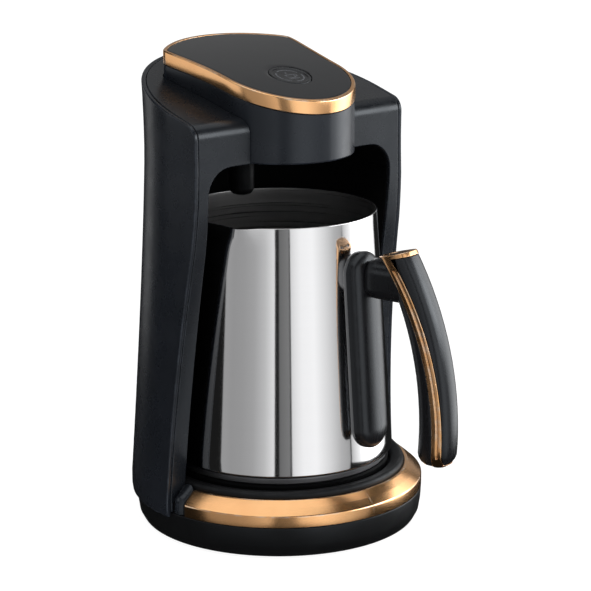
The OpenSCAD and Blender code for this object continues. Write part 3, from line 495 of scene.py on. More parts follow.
# maker, name, colour (a setting and its share, or a fixed one) and what else the maker takes
FINISH_ROWS = {
    "satin_black": (moulded, "Satin black", ("satin_black", 1), 0.28, 0.10, 0.42),
    # the casing's black made a little darker: painted shade on the roof and arm fronts
    "arm_grey": (moulded, "Arm grey", ("arm_grey", 1), 0.27, 0.08, 0.45),
    "base_black": (moulded, "Base black", ("base_black", 1), 0.34, 0.10, 0.35),
    "collar_black": (moulded, "Collar black", ("base_black", 1.4), 0.46, 0.10, 0.22),
    "deep_black": (moulded, "Deep black", ("base_black", 0.6), 0.60, 0.12, 0.04),
    "sensor_black": (moulded, "Sensor black", ("base_black", 0.4), 0.50, 0.06, 0.05),
    # near black for the heating plate: painted shade in the gap under the pot
    "shaded_plate_black": (moulded, "Black coating", ("base_black", 0.5), 0.55, 0.10, 0.06),
    "gloss_black": (polished_black, "Gloss black", ("gloss_black", 1), 0.26, 0.0),
    "panel_black": (polished_black, "Panel black", ("gloss_black", 1), 0.16, 0.0),
    "grip_black": (polished_black, "Grip black", ("gloss_black", 1), 0.24, 0.0),
    "lens": (polished_black, "Smoked lens", (0.02, 0.003, 0.006), 0.06, 1.0),
    "rose_gold": (plated_gold, "Rose gold", ("rose_gold", 1)),
    "steel_outside": (turned_steel, "Polished steel", ("steel", 1), 0.075, 0.005, 0.02, 2600),
    # the pot's inside: brushed, and its colour is the pot's steel at 0.6, darker as painted shade
    "steel_inside": (turned_steel, "Brushed steel", ("steel", 0.6), 0.34, 0.3, 0.09, 900),
    "plate_alloy": (turned_steel, "Turned alloy", (0.36, 0.36, 0.38), 0.38, 0.2, 0.10, 2600),
    "zinc": (plain_metal, "Zinc plated steel", (0.55, 0.56, 0.58), 0.34),
    "element": (plain_metal, "Heat tinted steel", (0.36, 0.32, 0.28), 0.42),
    "ceramic": (speckled, "Ceramic", (0.78, 0.75, 0.68), 0.45),
    "rubber": (speckled, "Rubber", (0.018, 0.018, 0.018), 0.75),
    "wire": (speckled, "Wire insulation", (0.42, 0.03, 0.03), 0.5),
    "board": (speckled, "Circuit board", (0.02, 0.13, 0.05), 0.45, 260),
    "relay": (speckled, "Relay case", (0.02, 0.07, 0.25), 0.35),
    "switch": (speckled, "Switch case", (0.09, 0.09, 0.10), 0.5),
    "print": (speckled, "Printed mark", (0.16, 0.17, 0.19), 0.30),
}
FINISHES = {}


def finish(name):
    """The finished material of that name, made once."""
    if name not in FINISHES:
        make, label, tone, *values = FINISH_ROWS[name]
        if isinstance(tone[0], str):
            tone = shade(getattr(bpy.context.scene.coffee_look, tone[0]), tone[1])
        FINISHES[name] = make(label, tone, *values)
    return FINISHES[name]


# ---- node trees

def new_tree(name, inputs):
    """A tree with a mesh going in and out and the named inputs; returns it with what comes in."""
    tree = bpy.data.node_groups.new(name, "GeometryNodeTree")
    for label, kind in (("Mesh", "Geometry"), *inputs.items(), ("Material", "Material")):
        tree.interface.new_socket(label, in_out="INPUT", socket_type=f"NodeSocket{kind}")
    tree.interface.new_socket("Mesh", in_out="OUTPUT", socket_type="NodeSocketGeometry")
    return tree, add_node(tree, "NodeGroupInput").outputs


def end_tree(tree, given, points, turned=None):
    """Puts a copy on each point, realizes the copies, sets the material and closes the tree."""
    copies = add_node(tree, "GeometryNodeInstanceOnPoints", {
        "Points": points, "Instance": given["Mesh"], **(turned or {})})
    real = add_node(tree, "GeometryNodeRealizeInstances", {"Geometry": copies.outputs[0]})
    painted = add_node(tree, "GeometryNodeSetMaterial", {
        "Geometry": real.outputs[0], "Material": given["Material"]})
    smooth = add_node(tree, "GeometryNodeSetShadeSmooth", {"Geometry": painted.outputs[0]})
    add_node(tree, "NodeGroupOutput", {"Mesh": smooth.outputs[0]})
    return tree


def ring_copies_tree():
    """Copies of a part round the axis, the first at an angle, each turned outwards."""
    tree, given = new_tree("Copies round the axis", {
        "Count": "Int", "Pitch radius": "Float", "First angle": "Float"})
    circle = add_node(tree, "GeometryNodeMeshCircle", {
        "Vertices": given["Count"], "Radius": given["Pitch radius"]})
    turn = add_node(tree, "ShaderNodeCombineXYZ", {"Z": given["First angle"]})
    points = add_node(tree, "GeometryNodeTransform", {
        "Geometry": circle.outputs[0], "Rotation": turn.outputs[0]})
    place = add_node(tree, "GeometryNodeInputPosition")
    aim = add_node(tree, "FunctionNodeAlignRotationToVector", {"Vector": place.outputs[0]}, axis="X")
    return end_tree(tree, given, points.outputs[0], {"Rotation": aim.outputs[0]})


def row_copies_tree():
    """Copies of a part in a straight row."""
    tree, given = new_tree("Copies in a row", {
        "Count": "Int", "First place": "Vector", "Step": "Vector"})
    line = add_node(tree, "GeometryNodeMeshLine", {
        "Count": given["Count"], "Start Location": given["First place"], "Offset": given["Step"]})
    return end_tree(tree, given, line.outputs[0])


def grow(piece, tree, **values):
    """Runs a node tree on a piece with the named inputs and keeps the result as a plain mesh."""
    modifier = piece.modifiers.new(tree.name, "NODES")
    modifier.node_group = tree
    for item in tree.interface.items_tree:
        key = item.name.lower().replace(" ", "_")
        if item.in_out == "INPUT" and key in values:
            modifier[item.identifier] = values[key]
    return bake(piece)


# ---- hidden pieces and fasteners

# CAD nodes that stay, by their finish
INNER = {
    "ceramic": "terminal_block thermostat thermal_fuse", "element": "heating_element",
    "zinc": "plate_clamp column_screws button_spring handle_screw handle_bracket",
    "wire": "wiring_loom", "board": "control_board button_board", "relay": "relay",
    "switch": "buzzer start_switch switch_plunger", "lens": "sensor_lens",
    # the heating plate takes the near black, a painted shade in the gap under the pot
    "plate_alloy": "pot_base_disc", "shaded_plate_black": "heating_plate",
}


class MESH_OT_coffee_inner(bpy.types.Operator):
    """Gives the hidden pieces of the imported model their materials"""
    bl_idname = "mesh.coffee_inner"
    bl_label = "Inner pieces"

    def execute(self, context):
        for look, nodes in INNER.items():
            for node in nodes.split():
                mesh = NODES[node].data
                mesh.materials.clear()
                mesh.materials.append(finish(look))
        return {"FINISHED"}


def screw_shape(length):
    """A screw with its head at the bottom and a cross recess in it, in millimetres."""
    head, height, shank = 3.0, 1.6, 1.5
    # the recess: its depth, its flat middle and its reach
    depth, middle, reach = 0.9, 0.36, head * 0.62
    verts, faces = lathe(rounded([
        (0, depth, 0), (middle, depth, 0), (reach, 0.02, 0.0), (head, 0.0, 0.35), (head, height, 0.15),
        (shank, height, 0), (shank, length, 0.3), (0, length, 0)], 3, closed=False), 48)
    bent = []
    for x, y, z in verts:
        r, a = math.hypot(x, y), math.atan2(y, x)
        if z <= depth and middle * 0.9 < r < reach + 0.03:
            # it is deep along two crossing slots and shallow between them
            z *= 1 - 0.9 * abs(math.sin(2 * a)) ** 0.8
        bent.append((x, y, z))
    return bent, faces


def foot_shape(radius, height):
    """A rubber foot with three ridges on its sole, in millimetres."""
    groove = 0.25
    sole = [(0, groove, 0)]
    for k in range(3):
        r = radius * (0.22 + 0.24 * k)
        sole += [(r - 0.5, groove, 0.1), (r - 0.3, 0.0, 0.1)]
        sole += [(r + 0.3, 0.0, 0.1), (r + 0.5, groove, 0.1)]
    sole += [(radius - 0.9, 0.0, 0.2), (radius, 0.6, 0.4), (radius, height, 0.1), (0, height, 0)]
    return lathe(rounded(sole, 2, closed=False), 64)


class MESH_OT_coffee_fasteners(bpy.types.Operator):
    """Makes the rubber feet and the screws that can be seen"""
    bl_idname = "mesh.coffee_fasteners"
    bl_label = "Feet and screws"

    def execute(self, context):
        ring, row = ring_copies_tree(), row_copies_tree()
        radius = context.scene.coffee_base.radius

        def around(inwards, first_angle):
            return dict(count=4, pitch_radius=radius - inwards, first_angle=first_angle)

        def pair(x, y):
            return dict(count=2, first_place=(-x, y, 0), step=(2 * x, 0, 0))

        # name, shape, height in mm, tree, finish, slot, replaced node, places
        for name, shape, height, tree, look, slot, node, values in (
                ("rubber_pads", foot_shape(7.0, 2.2), 0.0, ring, "rubber", "rubber", "rubber_feet",
                 around(0.015, 0.0)),
                ("cover_screws", screw_shape(13.4), 1.3, ring, "zinc", "zinc_steel", "housing_screws",
                 around(0.009, math.pi / 4)),
                ("ceiling_screws", screw_shape(13.0), 192.7, row, "zinc", "zinc_steel", "frame_screws",
                 pair(0.0468, 0.008)),
                ("nose_screws", screw_shape(9.4), 194.1, row, "zinc", "zinc_steel", "head_screws",
                 pair(0.0238, -0.0205)),
                ("back_screws", screw_shape(9.4), 194.1, row, "zinc", "zinc_steel", "",
                 pair(0.0325, 0.029))):
            piece = piece_from(name, shape, Matrix.Translation((0, 0, height * MM)))
            grow(piece, tree, material=finish(look), **values)
            clean(piece.data)
            settle(piece, "machine", slot, look, *node.split())
        return {"FINISHED"}


# ---- base and column

def ring_outline(base):
    """Section of the rose-gold ring: upright band, soft shoulder, slope, rounded lip."""
    r, low = base.radius / MM, base.wall_top / MM + 0.15
    inner = base.ring_inner / MM
    top = base.wall_top / MM + base.ring_band / MM
    peak = top + base.ring_rise / MM
    return rounded([
        (r - 1.4, low, 0.0), (r, low, 0.35), (r, top, 1.5), (r - 3.8, top + 3.3, 3.0),
        (inner + 1.6, peak - 0.15, 1.6), (inner, peak - 0.3, 0.5), (inner, peak - 2.0, 0.0),
        (r - 2.6, top - 0.8, 0.5)], 6)


def ring_shape(base):
    """The ring's section along its arc, with both ends closed in a small radius."""
    half, steps = 80.0, 150
    # an end's steps, its reach in degrees and how much it shrinks
    end_steps, reach, shrinking = 5, 0.8, 0.16
    outline = ring_outline(base)
    cx, cz = (sum(values) / len(outline) for values in zip(*outline))
    rings = []
    for k in range(-end_steps, steps + end_steps + 1):
        over = max(0, -k, k - steps) / end_steps * math.pi / 2
        a = math.radians(-90 - half + 2 * half * min(max(k, 0), steps) / steps)
        a += math.radians(reach) * (math.sin(over) - 1) * (-1 if k < steps / 2 else 1)
        shrink = 1 - shrinking * (1 - math.cos(over))
        ring = [(cx + (x - cx) * shrink, cz + (z - cz) * shrink) for x, z in outline]
        rings.append([(x * math.cos(a), x * math.sin(a), z) for x, z in ring])
    return loft(rings)


class MESH_OT_coffee_base(bpy.types.Operator):
    """Makes the base, its ring, the seat collar and the underside"""
    bl_idname = "mesh.coffee_base"
    bl_label = "Base"

    def execute(self, context):
        settle_softened(
            "machine", ("base_body", "base_housing", 0.0004, 2, "satin_black", "base_black"))
        settle(piece_from("base_ring", ring_shape(context.scene.coffee_base), sharp=50), "machine",
               "rose_gold", "rose_gold", "base_ring_trim")
        settle_softened(
            "machine",
            ("seat_collar", "seat_ring", 0.0003, 2, "soft_black", "collar_black"),
            ("underside", "bottom_cover", 0.0003, 2, "satin_black", "base_black"),
            ("inlet_gland", "cord_gland", 0.0003, 2, "soft_black", "base_black"))
        return {"FINISHED"}


class MESH_OT_coffee_column(bpy.types.Operator):
    """Makes the casing, the bent front panel and the lining of the bay"""
    bl_idname = "mesh.coffee_column"
    bl_label = "Column"

    def execute(self, context):
        settle_softened(
            "machine",
            ("casing", "rear_shell", 0.0007, 3, "satin_black", "satin_black"),
            # the roof and arms take the darker black, a painted shade
            ("roof_and_arms", "front_frame", 0.0005, 3, "dark_grey", "arm_grey"),
            ("bay_lining", "bay_liner", 0.0004, 2, "dark_grey", "deep_black"))
        return {"FINISHED"}


# ---- head and button

# underside of the head, height and slope of its top over the axis, the button's centre
HEAD_FLOOR, CROWN_TOP, CROWN_SLOPE, BUTTON_Y = 194, 236.2, math.radians(13.5), -9
# how far the panel's edge lies inside the head, where its flat begins, and its underside
PANEL_EDGE, PANEL_FLAT, PANEL_UNDER = 1.95, 3.5, -2.6


def head_outline(head):
    """Plan of the head, counter-clockwise, in millimetres."""
    r, rb = head.nose_radius / MM, head.back_radius / MM
    # half the width at the back corners, their radius, the nose's centre
    half, corner, nose_y = 42.3, 5.0, -2.8
    # share of the way to the corners that the flank takes, how late it widens, its steps
    share, power, steps = 12 / 14, 1.6, 30
    yc = math.sqrt(rb * rb - half * half)
    turn = math.degrees(math.atan2(yc, half)) + 0.66 * corner
    out = arc(r, -90, 0, 48, 0, nose_y)
    for i in range(1, steps + 1):
        s = share * i / steps
        out.append((r + (half - r) * s ** power, mix(nose_y, yc, s)))
    a, inner = math.radians(turn), rb - corner
    out += arc(corner, -20, turn, 8, inner * math.cos(a), inner * math.sin(a))
    out += arc(rb, turn, 90, 40)[1:]
    # evened out, so that the flank runs smoothly into the nose and the corner
    for _ in range(6):
        out = [out[0]] + [((out[i - 1][0] + 2 * out[i][0] + out[i + 1][0]) / 4,
                           (out[i - 1][1] + 2 * out[i][1] + out[i + 1][1]) / 4)
                          for i in range(1, len(out) - 1)] + [out[-1]]
    return out + [(-x, y) for x, y in reversed(out[1:-1])]


def crown(head, y):
    """Height of the top surface at y, in millimetres."""
    r = head.crown_radius / MM
    ahead, below = y - r * math.sin(CROWN_SLOPE), r * math.cos(CROWN_SLOPE)
    return CROWN_TOP - below + math.sqrt(r * r - ahead ** 2)


def button_place(head):
    """Where the button's surface is and how it is tilted."""
    r = head.crown_radius / MM
    tilt = math.asin((r * math.sin(CROWN_SLOPE) - BUTTON_Y) / r)
    return (Matrix.Translation((0, BUTTON_Y * MM, crown(head, BUTTON_Y) * MM))
            @ Matrix.Rotation(tilt, 4, "X"))


def around_head(head, section):
    """Sweeps a section of (inset, height, whether that is absolute or from the crown) round it."""
    plan = head_outline(head)
    loops = {d: inset(plan, d) for d in sorted({s[0] for s in section})}
    rings = []
    for i in range(len(plan)):
        ring = []
        for d, z, absolute in section:
            x, y = loops[d][i]
            ring.append((x, y, z if absolute else crown(head, y) + z))
        rings.append(ring)
    return loft(rings, along=True)


def panel_shape(head):
    """The crowned panel with its rounded edge and the hole for the button."""
    plan = head_outline(head)
    hole_r = head.button_radius / MM + 0.3
    outer, start = inset(plan, PANEL_EDGE), inset(plan, PANEL_FLAT)
    hole = []
    for x, y in outer:
        a = math.atan2(y - BUTTON_Y, x)
        p = button_place(head) @ Vector((hole_r * math.cos(a) * MM, hole_r * math.sin(a) * MM, 0))
        hole.append((p.x / MM, p.y / MM))

    def raised(points, z):
        return [(x, y, crown(head, y) + z) for x, y in points]

    def between(t, z):
        """A ring at the share t of the way from the flat's edge to the hole."""
        return raised([(mix(x, u, t), mix(y, v, t)) for (x, y), (u, v) in zip(start, hole)], z)

    edge = [(PANEL_EDGE, -1.2, 0), (PANEL_EDGE, -0.1, 0.45), (PANEL_FLAT, -0.1, 0)]
    rings = [raised(outer, PANEL_UNDER)]
    rings += [raised(inset(plan, d), z) for d, z in rounded(edge, 4, closed=False)]
    # even steps, the last one turned down into the hole
    rings += [between(k / 12, -0.1) for k in range(1, 12)]
    rings += [between(0.985, -0.1), between(1.0, -0.3), raised(hole, PANEL_UNDER)]
    return loft(rings, along=True)


class MESH_OT_coffee_head(bpy.types.Operator):
    """Makes the head, its band, its panel and the sensor under it"""
    bl_idname = "mesh.coffee_head"
    bl_label = "Head"

    def execute(self, context):
        head = context.scene.coffee_head
        band = head.band_height / MM
        wall, seam = 2.2, -band - 0.15
        low = rounded([(wall, HEAD_FLOOR, 0), (0, HEAD_FLOOR, 2.4), (0, HEAD_FLOOR + 4, 0)],
                      6, closed=False)
        section = [(d, z, True) for d, z in low[:-1]]
        section += [(0, -band - 0.45, False), (0.3, seam, False), (wall, seam, False)]
        settle(piece_from("head_body", around_head(head, section)), "machine", "satin_black",
               "satin_black", "head_housing")
        edge = rounded([(1.8, -band, 0), (-0.3, -band, 0.5), (-0.3, 0, 0.7), (1.8, -0.05, 0.25)], 4)
        settle(piece_from("head_trim", around_head(head, [(d, z, False) for d, z in edge])), "machine",
               "rose_gold", "rose_gold", "head_band")
        settle(piece_from("head_panel", panel_shape(head)), "machine", "gloss_black",
               "panel_black", "top_panel")
        settle_softened(
            "machine",
            ("head_floor", "head_bottom_cover", 0.0003, 2, "dark_grey", "deep_black"),
            ("sensor_body", "overflow_sensor", 0.0002, 2, "soft_black", "sensor_black"))
        return {"FINISHED"}


# strokes of a small cup with a handle, a wisp of steam and a saucer, as points in millimetres
CUP_MARK = (
    ((-2.6, 1.0), (-2.4, -1.2), (-1.4, -2.6), (1.4, -2.6), (2.4, -1.2), (2.6, 1.0), (-2.6, 1.0)),
    ((2.6, 0.6), (3.9, 0.5), (4.1, -0.7), (3.2, -1.6), (2.3, -1.5)),
    ((0.0, 2.1), (-0.6, 3.0), (0.5, 3.9), (0.0, 4.8)),
    ((-3.4, -3.7), (3.4, -3.7)),
)
# the mark's underside and face, from the panel's surface
MARK_LOW, MARK_TOP = -0.5, -0.37
# radius of the broken ring round the cup and where its arcs start, in degrees
ARC_RADIUS, ARC_STARTS = 7.2, (20, 140, 260)


def stroke(points, width):
    """A raised line of that width along points."""
    rings = []
    for i, (x, y) in enumerate(points):
        before, after = points[max(i - 1, 0)], points[min(i + 1, len(points) - 1)]
        t = Vector((after[0] - before[0], after[1] - before[1])).normalized() * width / 2
        left, right = (x - t.y, y + t.x), (x + t.y, y - t.x)
        rings.append([(*left, MARK_LOW), (*right, MARK_LOW), (*right, MARK_TOP), (*left, MARK_TOP)])
    return loft(rings)


class MESH_OT_coffee_button(bpy.types.Operator):
    """Makes the round button and its generic mark"""
    bl_idname = "mesh.coffee_button"
    bl_label = "Button"

    def execute(self, context):
        head = context.scene.coffee_head
        r = head.button_radius / MM
        place = button_place(head)
        # heights below the panel's surface: underside, groove for the spring, flange, dished face
        under, groove, flange, dish = -4.2, -3.0, -2.95, -0.4
        face = rounded([
            (0, under, 0), (4.5, under, 0), (4.5, groove, 0), (7.0, groove, 0), (7.0, under, 0),
            (r + 1.3, under, 0.2), (r + 1.3, flange, 0.2), (r, flange, 0.1), (r, -0.1, 0.5),
            (r - 1.5, -0.1, 0.5), (r - 2.0, dish, 0.8), (0, dish, 0)], 5, closed=False)
        stem = [(0, -5.5), (2.6, -5.5), (2.6, -4.1), (0, -4.1)]
        settle(piece_from("button_cap", join_parts(lathe(face, 96), lathe(stem, 48)), place), "button",
               "gloss_black", "gloss_black", "start_button")
        marks = [stroke(points, 0.42) for points in CUP_MARK]
        marks += [stroke(arc(ARC_RADIUS, start, start + 100, 20), 0.5) for start in ARC_STARTS]
        settle(piece_from("button_mark", join_parts(*marks), place), "button", "gloss_black", "print")
        return {"FINISHED"}


# ---- pot and handle

class MESH_OT_coffee_pot(bpy.types.Operator):
    """Makes the steel pot with its pouring lip"""
    bl_idname = "mesh.coffee_pot"
    bl_label = "Pot"

    def execute(self, context):
        pot = context.scene.coffee_pot
        foot, rim = pot.foot_radius / MM, pot.rim_radius / MM
        low, tall, wall = pot.foot_height / MM, pot.height / MM, pot.wall / MM
        top = low + tall
        outline = rounded([
            (0, low, 0), (foot, low, 1.6), (rim, top, 0.4), (rim - wall, top, 0.4),
            (foot - wall, low + wall, 4.0), (0, low + wall, 0)], 6, closed=False)
        walls = []
        for a, b in zip(outline, outline[1:]):
            # the two tall walls are cut into rows for the lip
            count = 26 if abs(a[1] - b[1]) > 40 else 1
            walls += [(mix(a[0], b[0], k / count), mix(a[1], b[1], k / count)) for k in range(count)]
        walls.append(outline[-1])
        verts, faces = lathe(walls, 224)
        # pouring lip, left of the front: its angle, depth and drop in mm, spread in radians
        lip_at, depth, drop, spread = math.radians(-90 - 62), 12, 0.7, 0.15
        bent = []
        for x, y, z in verts:
            off = (math.atan2(y, x) - lip_at + math.pi) % (2 * math.pi) - math.pi
            w = smooth_step((z - top + depth) / depth) ** 3 * math.exp(-(off / spread) ** 2)
            k = 1 + pot.lip / MM * w / max(1.0, math.hypot(x, y))
            bent.append((x * k, y * k, z - drop * w))
        piece = piece_from("pot_body", (bent, faces))
        settle(piece, "pot", "stainless", "steel_outside steel_inside", "pot_shell")
        # the inner faces and the floor take the darker steel: painted shade inside the pot
        for polygon in piece.data.polygons:
            c, n = polygon.center, polygon.normal
            inwards = n.x * c.x + n.y * c.y < -1e-4
            floor = n.z > 0.3 and c.z < (top - 2) * MM
            polygon.material_index = 1 if inwards or floor else 0
        return {"FINISHED"}


def pot_radius(pot, z):
    return mix(pot.foot_radius, pot.rim_radius, (z * MM - pot.foot_height) / pot.height) / MM


def stadium(half_w, half_h, count):
    """Points of an upright rounded bar, count of them, from the right side upwards."""
    turns = [2 * math.pi * i / count for i in range(count)]
    return [(half_w * math.cos(a),
             half_w * math.sin(a) + (half_h - half_w) * (1 if math.sin(a) > 0 else -1)) for a in turns]


def plate_shape(pot, handle):
    """The mounting plate: a domed bar whose back follows the pot's wall."""
    half_w, proud = handle.plate_half_width / MM, handle.plate_proud / MM
    # middle height, half the height, radius of the dome's edge, height of the upright edge
    mid, half_h, soft, edge = 98.0, 51.0, 10.9, 1.2
    lean = math.atan((pot.foot_radius - pot.rim_radius) / pot.height)
    origin = Vector((pot_radius(pot, mid), 0, mid))
    out = Vector((math.cos(lean), 0, math.sin(lean)))
    up = Vector((-math.sin(lean), 0, math.cos(lean)))
    side = Vector((0, 1, 0))

    def loop(e, height=None):
        """The outline moved inwards by e, at a height or, with none, on the pot's wall."""
        ring = []
        for y, z in stadium(half_w - e, half_h - e, 96):
            local = pot_radius(pot, mid + z)
            sag = local - math.sqrt(max(1.0, local * local - y * y))
            away = 0.05 - sag if height is None else height
            ring.append(tuple(origin + side * y + up * z + out * away))
        return ring

    rings = [loop(4.0), loop(0.0), loop(0.0, edge)]
    steps = 14
    for k in range(1, steps + 1):
        t = math.pi / 2 * k / steps
        rings.append(loop(soft * (1 - math.cos(t)), edge + (proud - edge) * math.sin(t) ** 0.9))
    return loft(rings)


def arm_shape(pot, handle):
    """The short arm, which widens from its root in the plate and ends on the band's curve."""
    # height of its axis, half its height and width, lean of its root
    z0, half_h, half_w, lean = 136.5, 10.5, 7.4, 0.07
    # distances from the root, each with its share of the full section
    shares = ((0.5, 0.82), (1.4, 0.91), (2.6, 0.965), (4.2, 0.992), (6, 1), (10, 1), (14, 1))
    start = pot_radius(pot, z0) + handle.plate_proud / MM - 1.4

    def section(x, k, tilt):
        return [(x + tilt * z, y, z0 + z) for y, z in stadium(half_w * k, half_h * k, 64)]

    rings = [section(start, 0.70, lean)]
    for x, k in shares:
        rings.append(section(start + x, k, lean * max(0.0, 1 - x / shares[-1][0])))
    # the far end follows a circle on the inner side of the gold band
    cx, cz, r = -41.2, 59.5, 142.2
    rings.append([(cx + math.sqrt(r ** 2 - (z - cz) ** 2), y, z) for x, y, z in rings[-1]])
    return loft(rings)


class MESH_OT_coffee_handle(bpy.types.Operator):
    """Makes the mounting plate, the arm and the grip"""
    bl_idname = "mesh.coffee_handle"
    bl_label = "Handle"

    def execute(self, context):
        pot, handle = context.scene.coffee_pot, context.scene.coffee_handle
        turn = Matrix.Rotation(-math.pi / 2 + handle.angle, 4, "Z")
        settle(piece_from("handle_mount", plate_shape(pot, handle), turn), "pot",
               "gloss_black", "gloss_black", "handle_plate")
        settle(piece_from("handle_stub", arm_shape(pot, handle), turn), "pot",
               "gloss_black", "gloss_black", "handle_arm")
        settle_softened(
            "pot",
            ("grip_front", "grip_outer", 0.0005, 3, "gloss_black", "grip_black"),
            ("grip_back", "grip_inner", 0.0005, 3, "gloss_black", "grip_black"),
            ("grip_trim", "grip_band", 0.0004, 3, "rose_gold", "rose_gold"),
            ("grip_cap", "grip_top_insert", 0.0002, 2, "soft_black", "satin_black"))
        return {"FINISHED"}


# ---- stage

# name, azimuth (0 in front, positive to the right), elevation, distance, width and height, radiance
# and, where it changes across the panel, its strength from left to right
LIGHTS = (
    ("left", -72, 4, 1.3, (1.38, 1.7), 1.0, (0.40, 0.36, 0.38, 0.44, 0.62, 0.95)),
    ("gap", -34.5, 4, 1.4, (0.27, 1.8), 0.24, (0.7, 1.0)),
    ("key", 4, 4, 1.3, (1.62, 1.7), 1.0, (0.85, 1.12, 1.18, 0.88, 0.56, 0.42)),
    ("right front", 40, 17, 1.35, (0.9, 0.5), 3.6),
    ("right", 68, 6, 1.35, (1.69, 1.3), 1.0, (0.6, 1.2, 3.2, 3.4, 1.8, 1.0)),
    ("left near", -124, 12, 0.6, (0.46, 0.28), 0.85),
    ("far left", -178, 8, 1.5, (0.5, 1.2), 0.5),
    ("back", 134, 22, 1.7, (1.7, 1.4), 0.30),
    ("top", -90, 76, 1.5, (1.6, 1.8), 1.1),
    ("high right", 90, 62, 1.4, (0.9, 0.6), 0.9),
)
# height that the lights aim at, in metres
LIGHT_AIM = 0.12
FLOOR_RADIUS = 0.5
# how bright the paper behind the object and the floor are
PAPER, FLOOR_GLOW = 1.1, 0.93
# the fitted camera: focal length, picture and offset in pixels, pitch in radians
FOCAL_PX, PICTURE_PX, OFFSET_PX, PITCH = 2255.04, 591.0, 17.07, 0.2518
SENSOR = 36.0


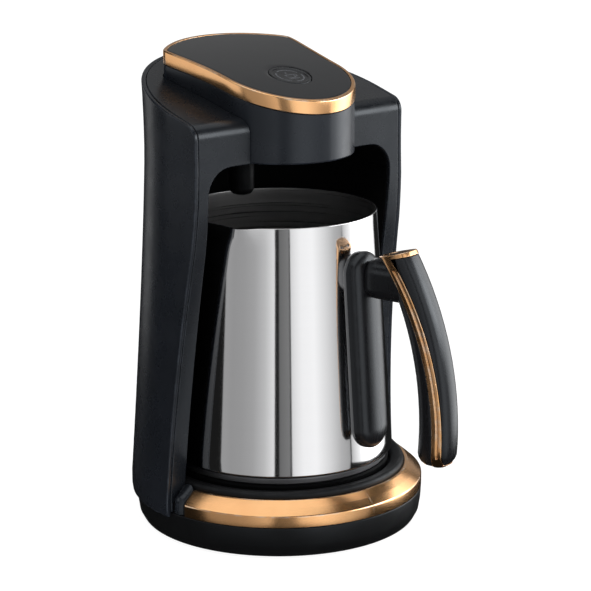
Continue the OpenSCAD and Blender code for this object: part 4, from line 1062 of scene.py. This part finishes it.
class MESH_OT_coffee_stage(bpy.types.Operator):
    """Makes the floor, the lights and the camera"""
    bl_idname = "mesh.coffee_stage"
    bl_label = "Stage"

    def execute(self, context):
        scene, stage = context.scene, context.scene.coffee_stage
        self.floor(stage)
        self.room(scene, stage)
        for row in LIGHTS:
            self.panel_light(*row)
        self.camera(scene, stage)
        scene.view_settings.view_transform = "Standard"
        return {"FINISHED"}

    def room(self, scene, stage):
        """Paper is what the camera sees behind the object, room is what lights it."""
        world = bpy.data.worlds.new("Studio")
        world.use_nodes = True
        scene.world = world
        tree = world.node_tree
        tree.nodes.clear()
        room, paper = (add_node(tree, "ShaderNodeBackground", {0: (1, 1, 1, 1), "Strength": value})
                       for value in (stage.ambient, PAPER))
        path = add_node(tree, "ShaderNodeLightPath")
        mixed = add_node(tree, "ShaderNodeMixShader", {
            0: path.outputs["Is Camera Ray"], 1: room.outputs[0], 2: paper.outputs[0]})
        add_node(tree, "ShaderNodeOutputWorld", {0: mixed.outputs[0]})

    def floor(self, stage):
        """A pale disc that shines faintly and isn't mirrored in the object."""
        ring = [(x, y, 0) for x, y in arc(FLOOR_RADIUS, 0, 360, 96)[:-1]]
        mesh = bpy.data.meshes.new("floor")
        mesh.from_pydata(ring, [], [tuple(range(len(ring)))])
        floor = new_object("floor", mesh)
        floor.visible_glossy = False
        f = Finish("Pale floor")
        f.set(Base_Color=f.colours(f.ramp(f.noise(3, 2), 0, 1), shade(stage.floor, 0.98), stage.floor))
        f.set(Roughness=0.9, Emission_Color=(1, 1, 1, 1), Emission_Strength=FLOOR_GLOW,
              Specular_IOR_Level=0.1)
        mesh.materials.append(f.material)

    def place(self, name, data, spot, ahead):
        """A light or a camera at a spot, looking ahead."""
        thing = new_object(name, data)
        thing.location = spot
        thing.rotation_mode = "QUATERNION"
        thing.rotation_quaternion = ahead.to_track_quat("-Z", "Y")
        return thing

    def panel_light(self, name, azimuth, elevation, distance, dims, radiance, profile=()):
        """A soft panel that faces the object."""
        light = bpy.data.lights.new(name, "AREA")
        light.shape = "RECTANGLE"
        light.size, light.size_y = dims
        light.energy = radiance * math.pi * dims[0] * dims[1]
        a, e = math.radians(azimuth), math.radians(elevation)
        away = Vector((math.sin(a) * math.cos(e), -math.cos(a) * math.cos(e), math.sin(e)))
        lamp = self.place(name, light, Vector((0, 0, LIGHT_AIM)) + away * distance, -away)
        lamp.visible_camera = False
        if profile:
            self.spread(light, profile)

    def spread(self, light, profile):
        """Lets the light change across its panel, from left to right as the object sees it."""
        light.use_nodes = True
        tree = light.node_tree
        place = add_node(tree, "ShaderNodeNewGeometry").outputs["Parametric"]
        across = add_node(tree, "ShaderNodeSeparateXYZ", {0: place})
        steps = add_node(tree, "ShaderNodeValToRGB", {0: across.outputs[0]})
        ramp = steps.color_ramp
        while len(ramp.elements) < len(profile):
            ramp.elements.new(0.5)
        for i in range(len(profile)):
            ramp.elements[i].position = i / (len(profile) - 1)
        for i, value in enumerate(profile):
            ramp.elements[i].color = (value, value, value, 1)
        tree.links.new(steps.outputs[0], tree.nodes["Emission"].inputs["Strength"])

    def camera(self, scene, stage):
        data = bpy.data.cameras.new("camera")
        data.sensor_width = SENSOR
        data.lens = FOCAL_PX * SENSOR / PICTURE_PX
        data.clip_start, data.clip_end = 0.05, 50
        a = stage.azimuth
        spot = (stage.distance * math.sin(a), -stage.distance * math.cos(a), stage.height)
        yaw = math.atan(OFFSET_PX / FOCAL_PX)
        flat = math.cos(PITCH)
        ahead = Vector((math.sin(yaw) * flat, math.cos(yaw) * flat, -math.sin(PITCH)))
        ahead.rotate(Matrix.Rotation(a, 3, "Z"))
        scene.camera = self.place("camera", data, spot, ahead)


# ---- panel and run

OPERATORS = (
    MESH_OT_coffee_stage, MESH_OT_coffee_inner, MESH_OT_coffee_base, MESH_OT_coffee_fasteners,
    MESH_OT_coffee_column, MESH_OT_coffee_head, MESH_OT_coffee_button, MESH_OT_coffee_pot,
    MESH_OT_coffee_handle,
)


class VIEW3D_PT_coffee(bpy.types.Panel):
    """Lists the settings and the pieces"""
    bl_idname = "VIEW3D_PT_coffee"
    bl_label = "Coffee maker"
    bl_space_type = "VIEW_3D"
    bl_region_type = "UI"
    bl_category = "Coffee maker"

    def draw(self, context):
        for name, group in SETTINGS.items():
            box = self.layout.box()
            for prop in group.__annotations__:
                box.prop(getattr(context.scene, name), prop)
        for operator in OPERATORS:
            self.layout.operator(operator.bl_idname)


CLASSES = (*SETTINGS.values(), *OPERATORS, VIEW3D_PT_coffee)


def register():
    for one in CLASSES:
        bpy.utils.register_class(one)
    for name, group in SETTINGS.items():
        setattr(bpy.types.Scene, name, PointerProperty(type=group))


def unregister():
    for name in SETTINGS:
        delattr(bpy.types.Scene, name)
    for one in reversed(CLASSES):
        bpy.utils.unregister_class(one)


def main():
    register()
    for operator in OPERATORS:
        group, name = operator.bl_idname.split(".")
        getattr(getattr(bpy.ops, group), name)()


if __name__ == "__main__":
    main()
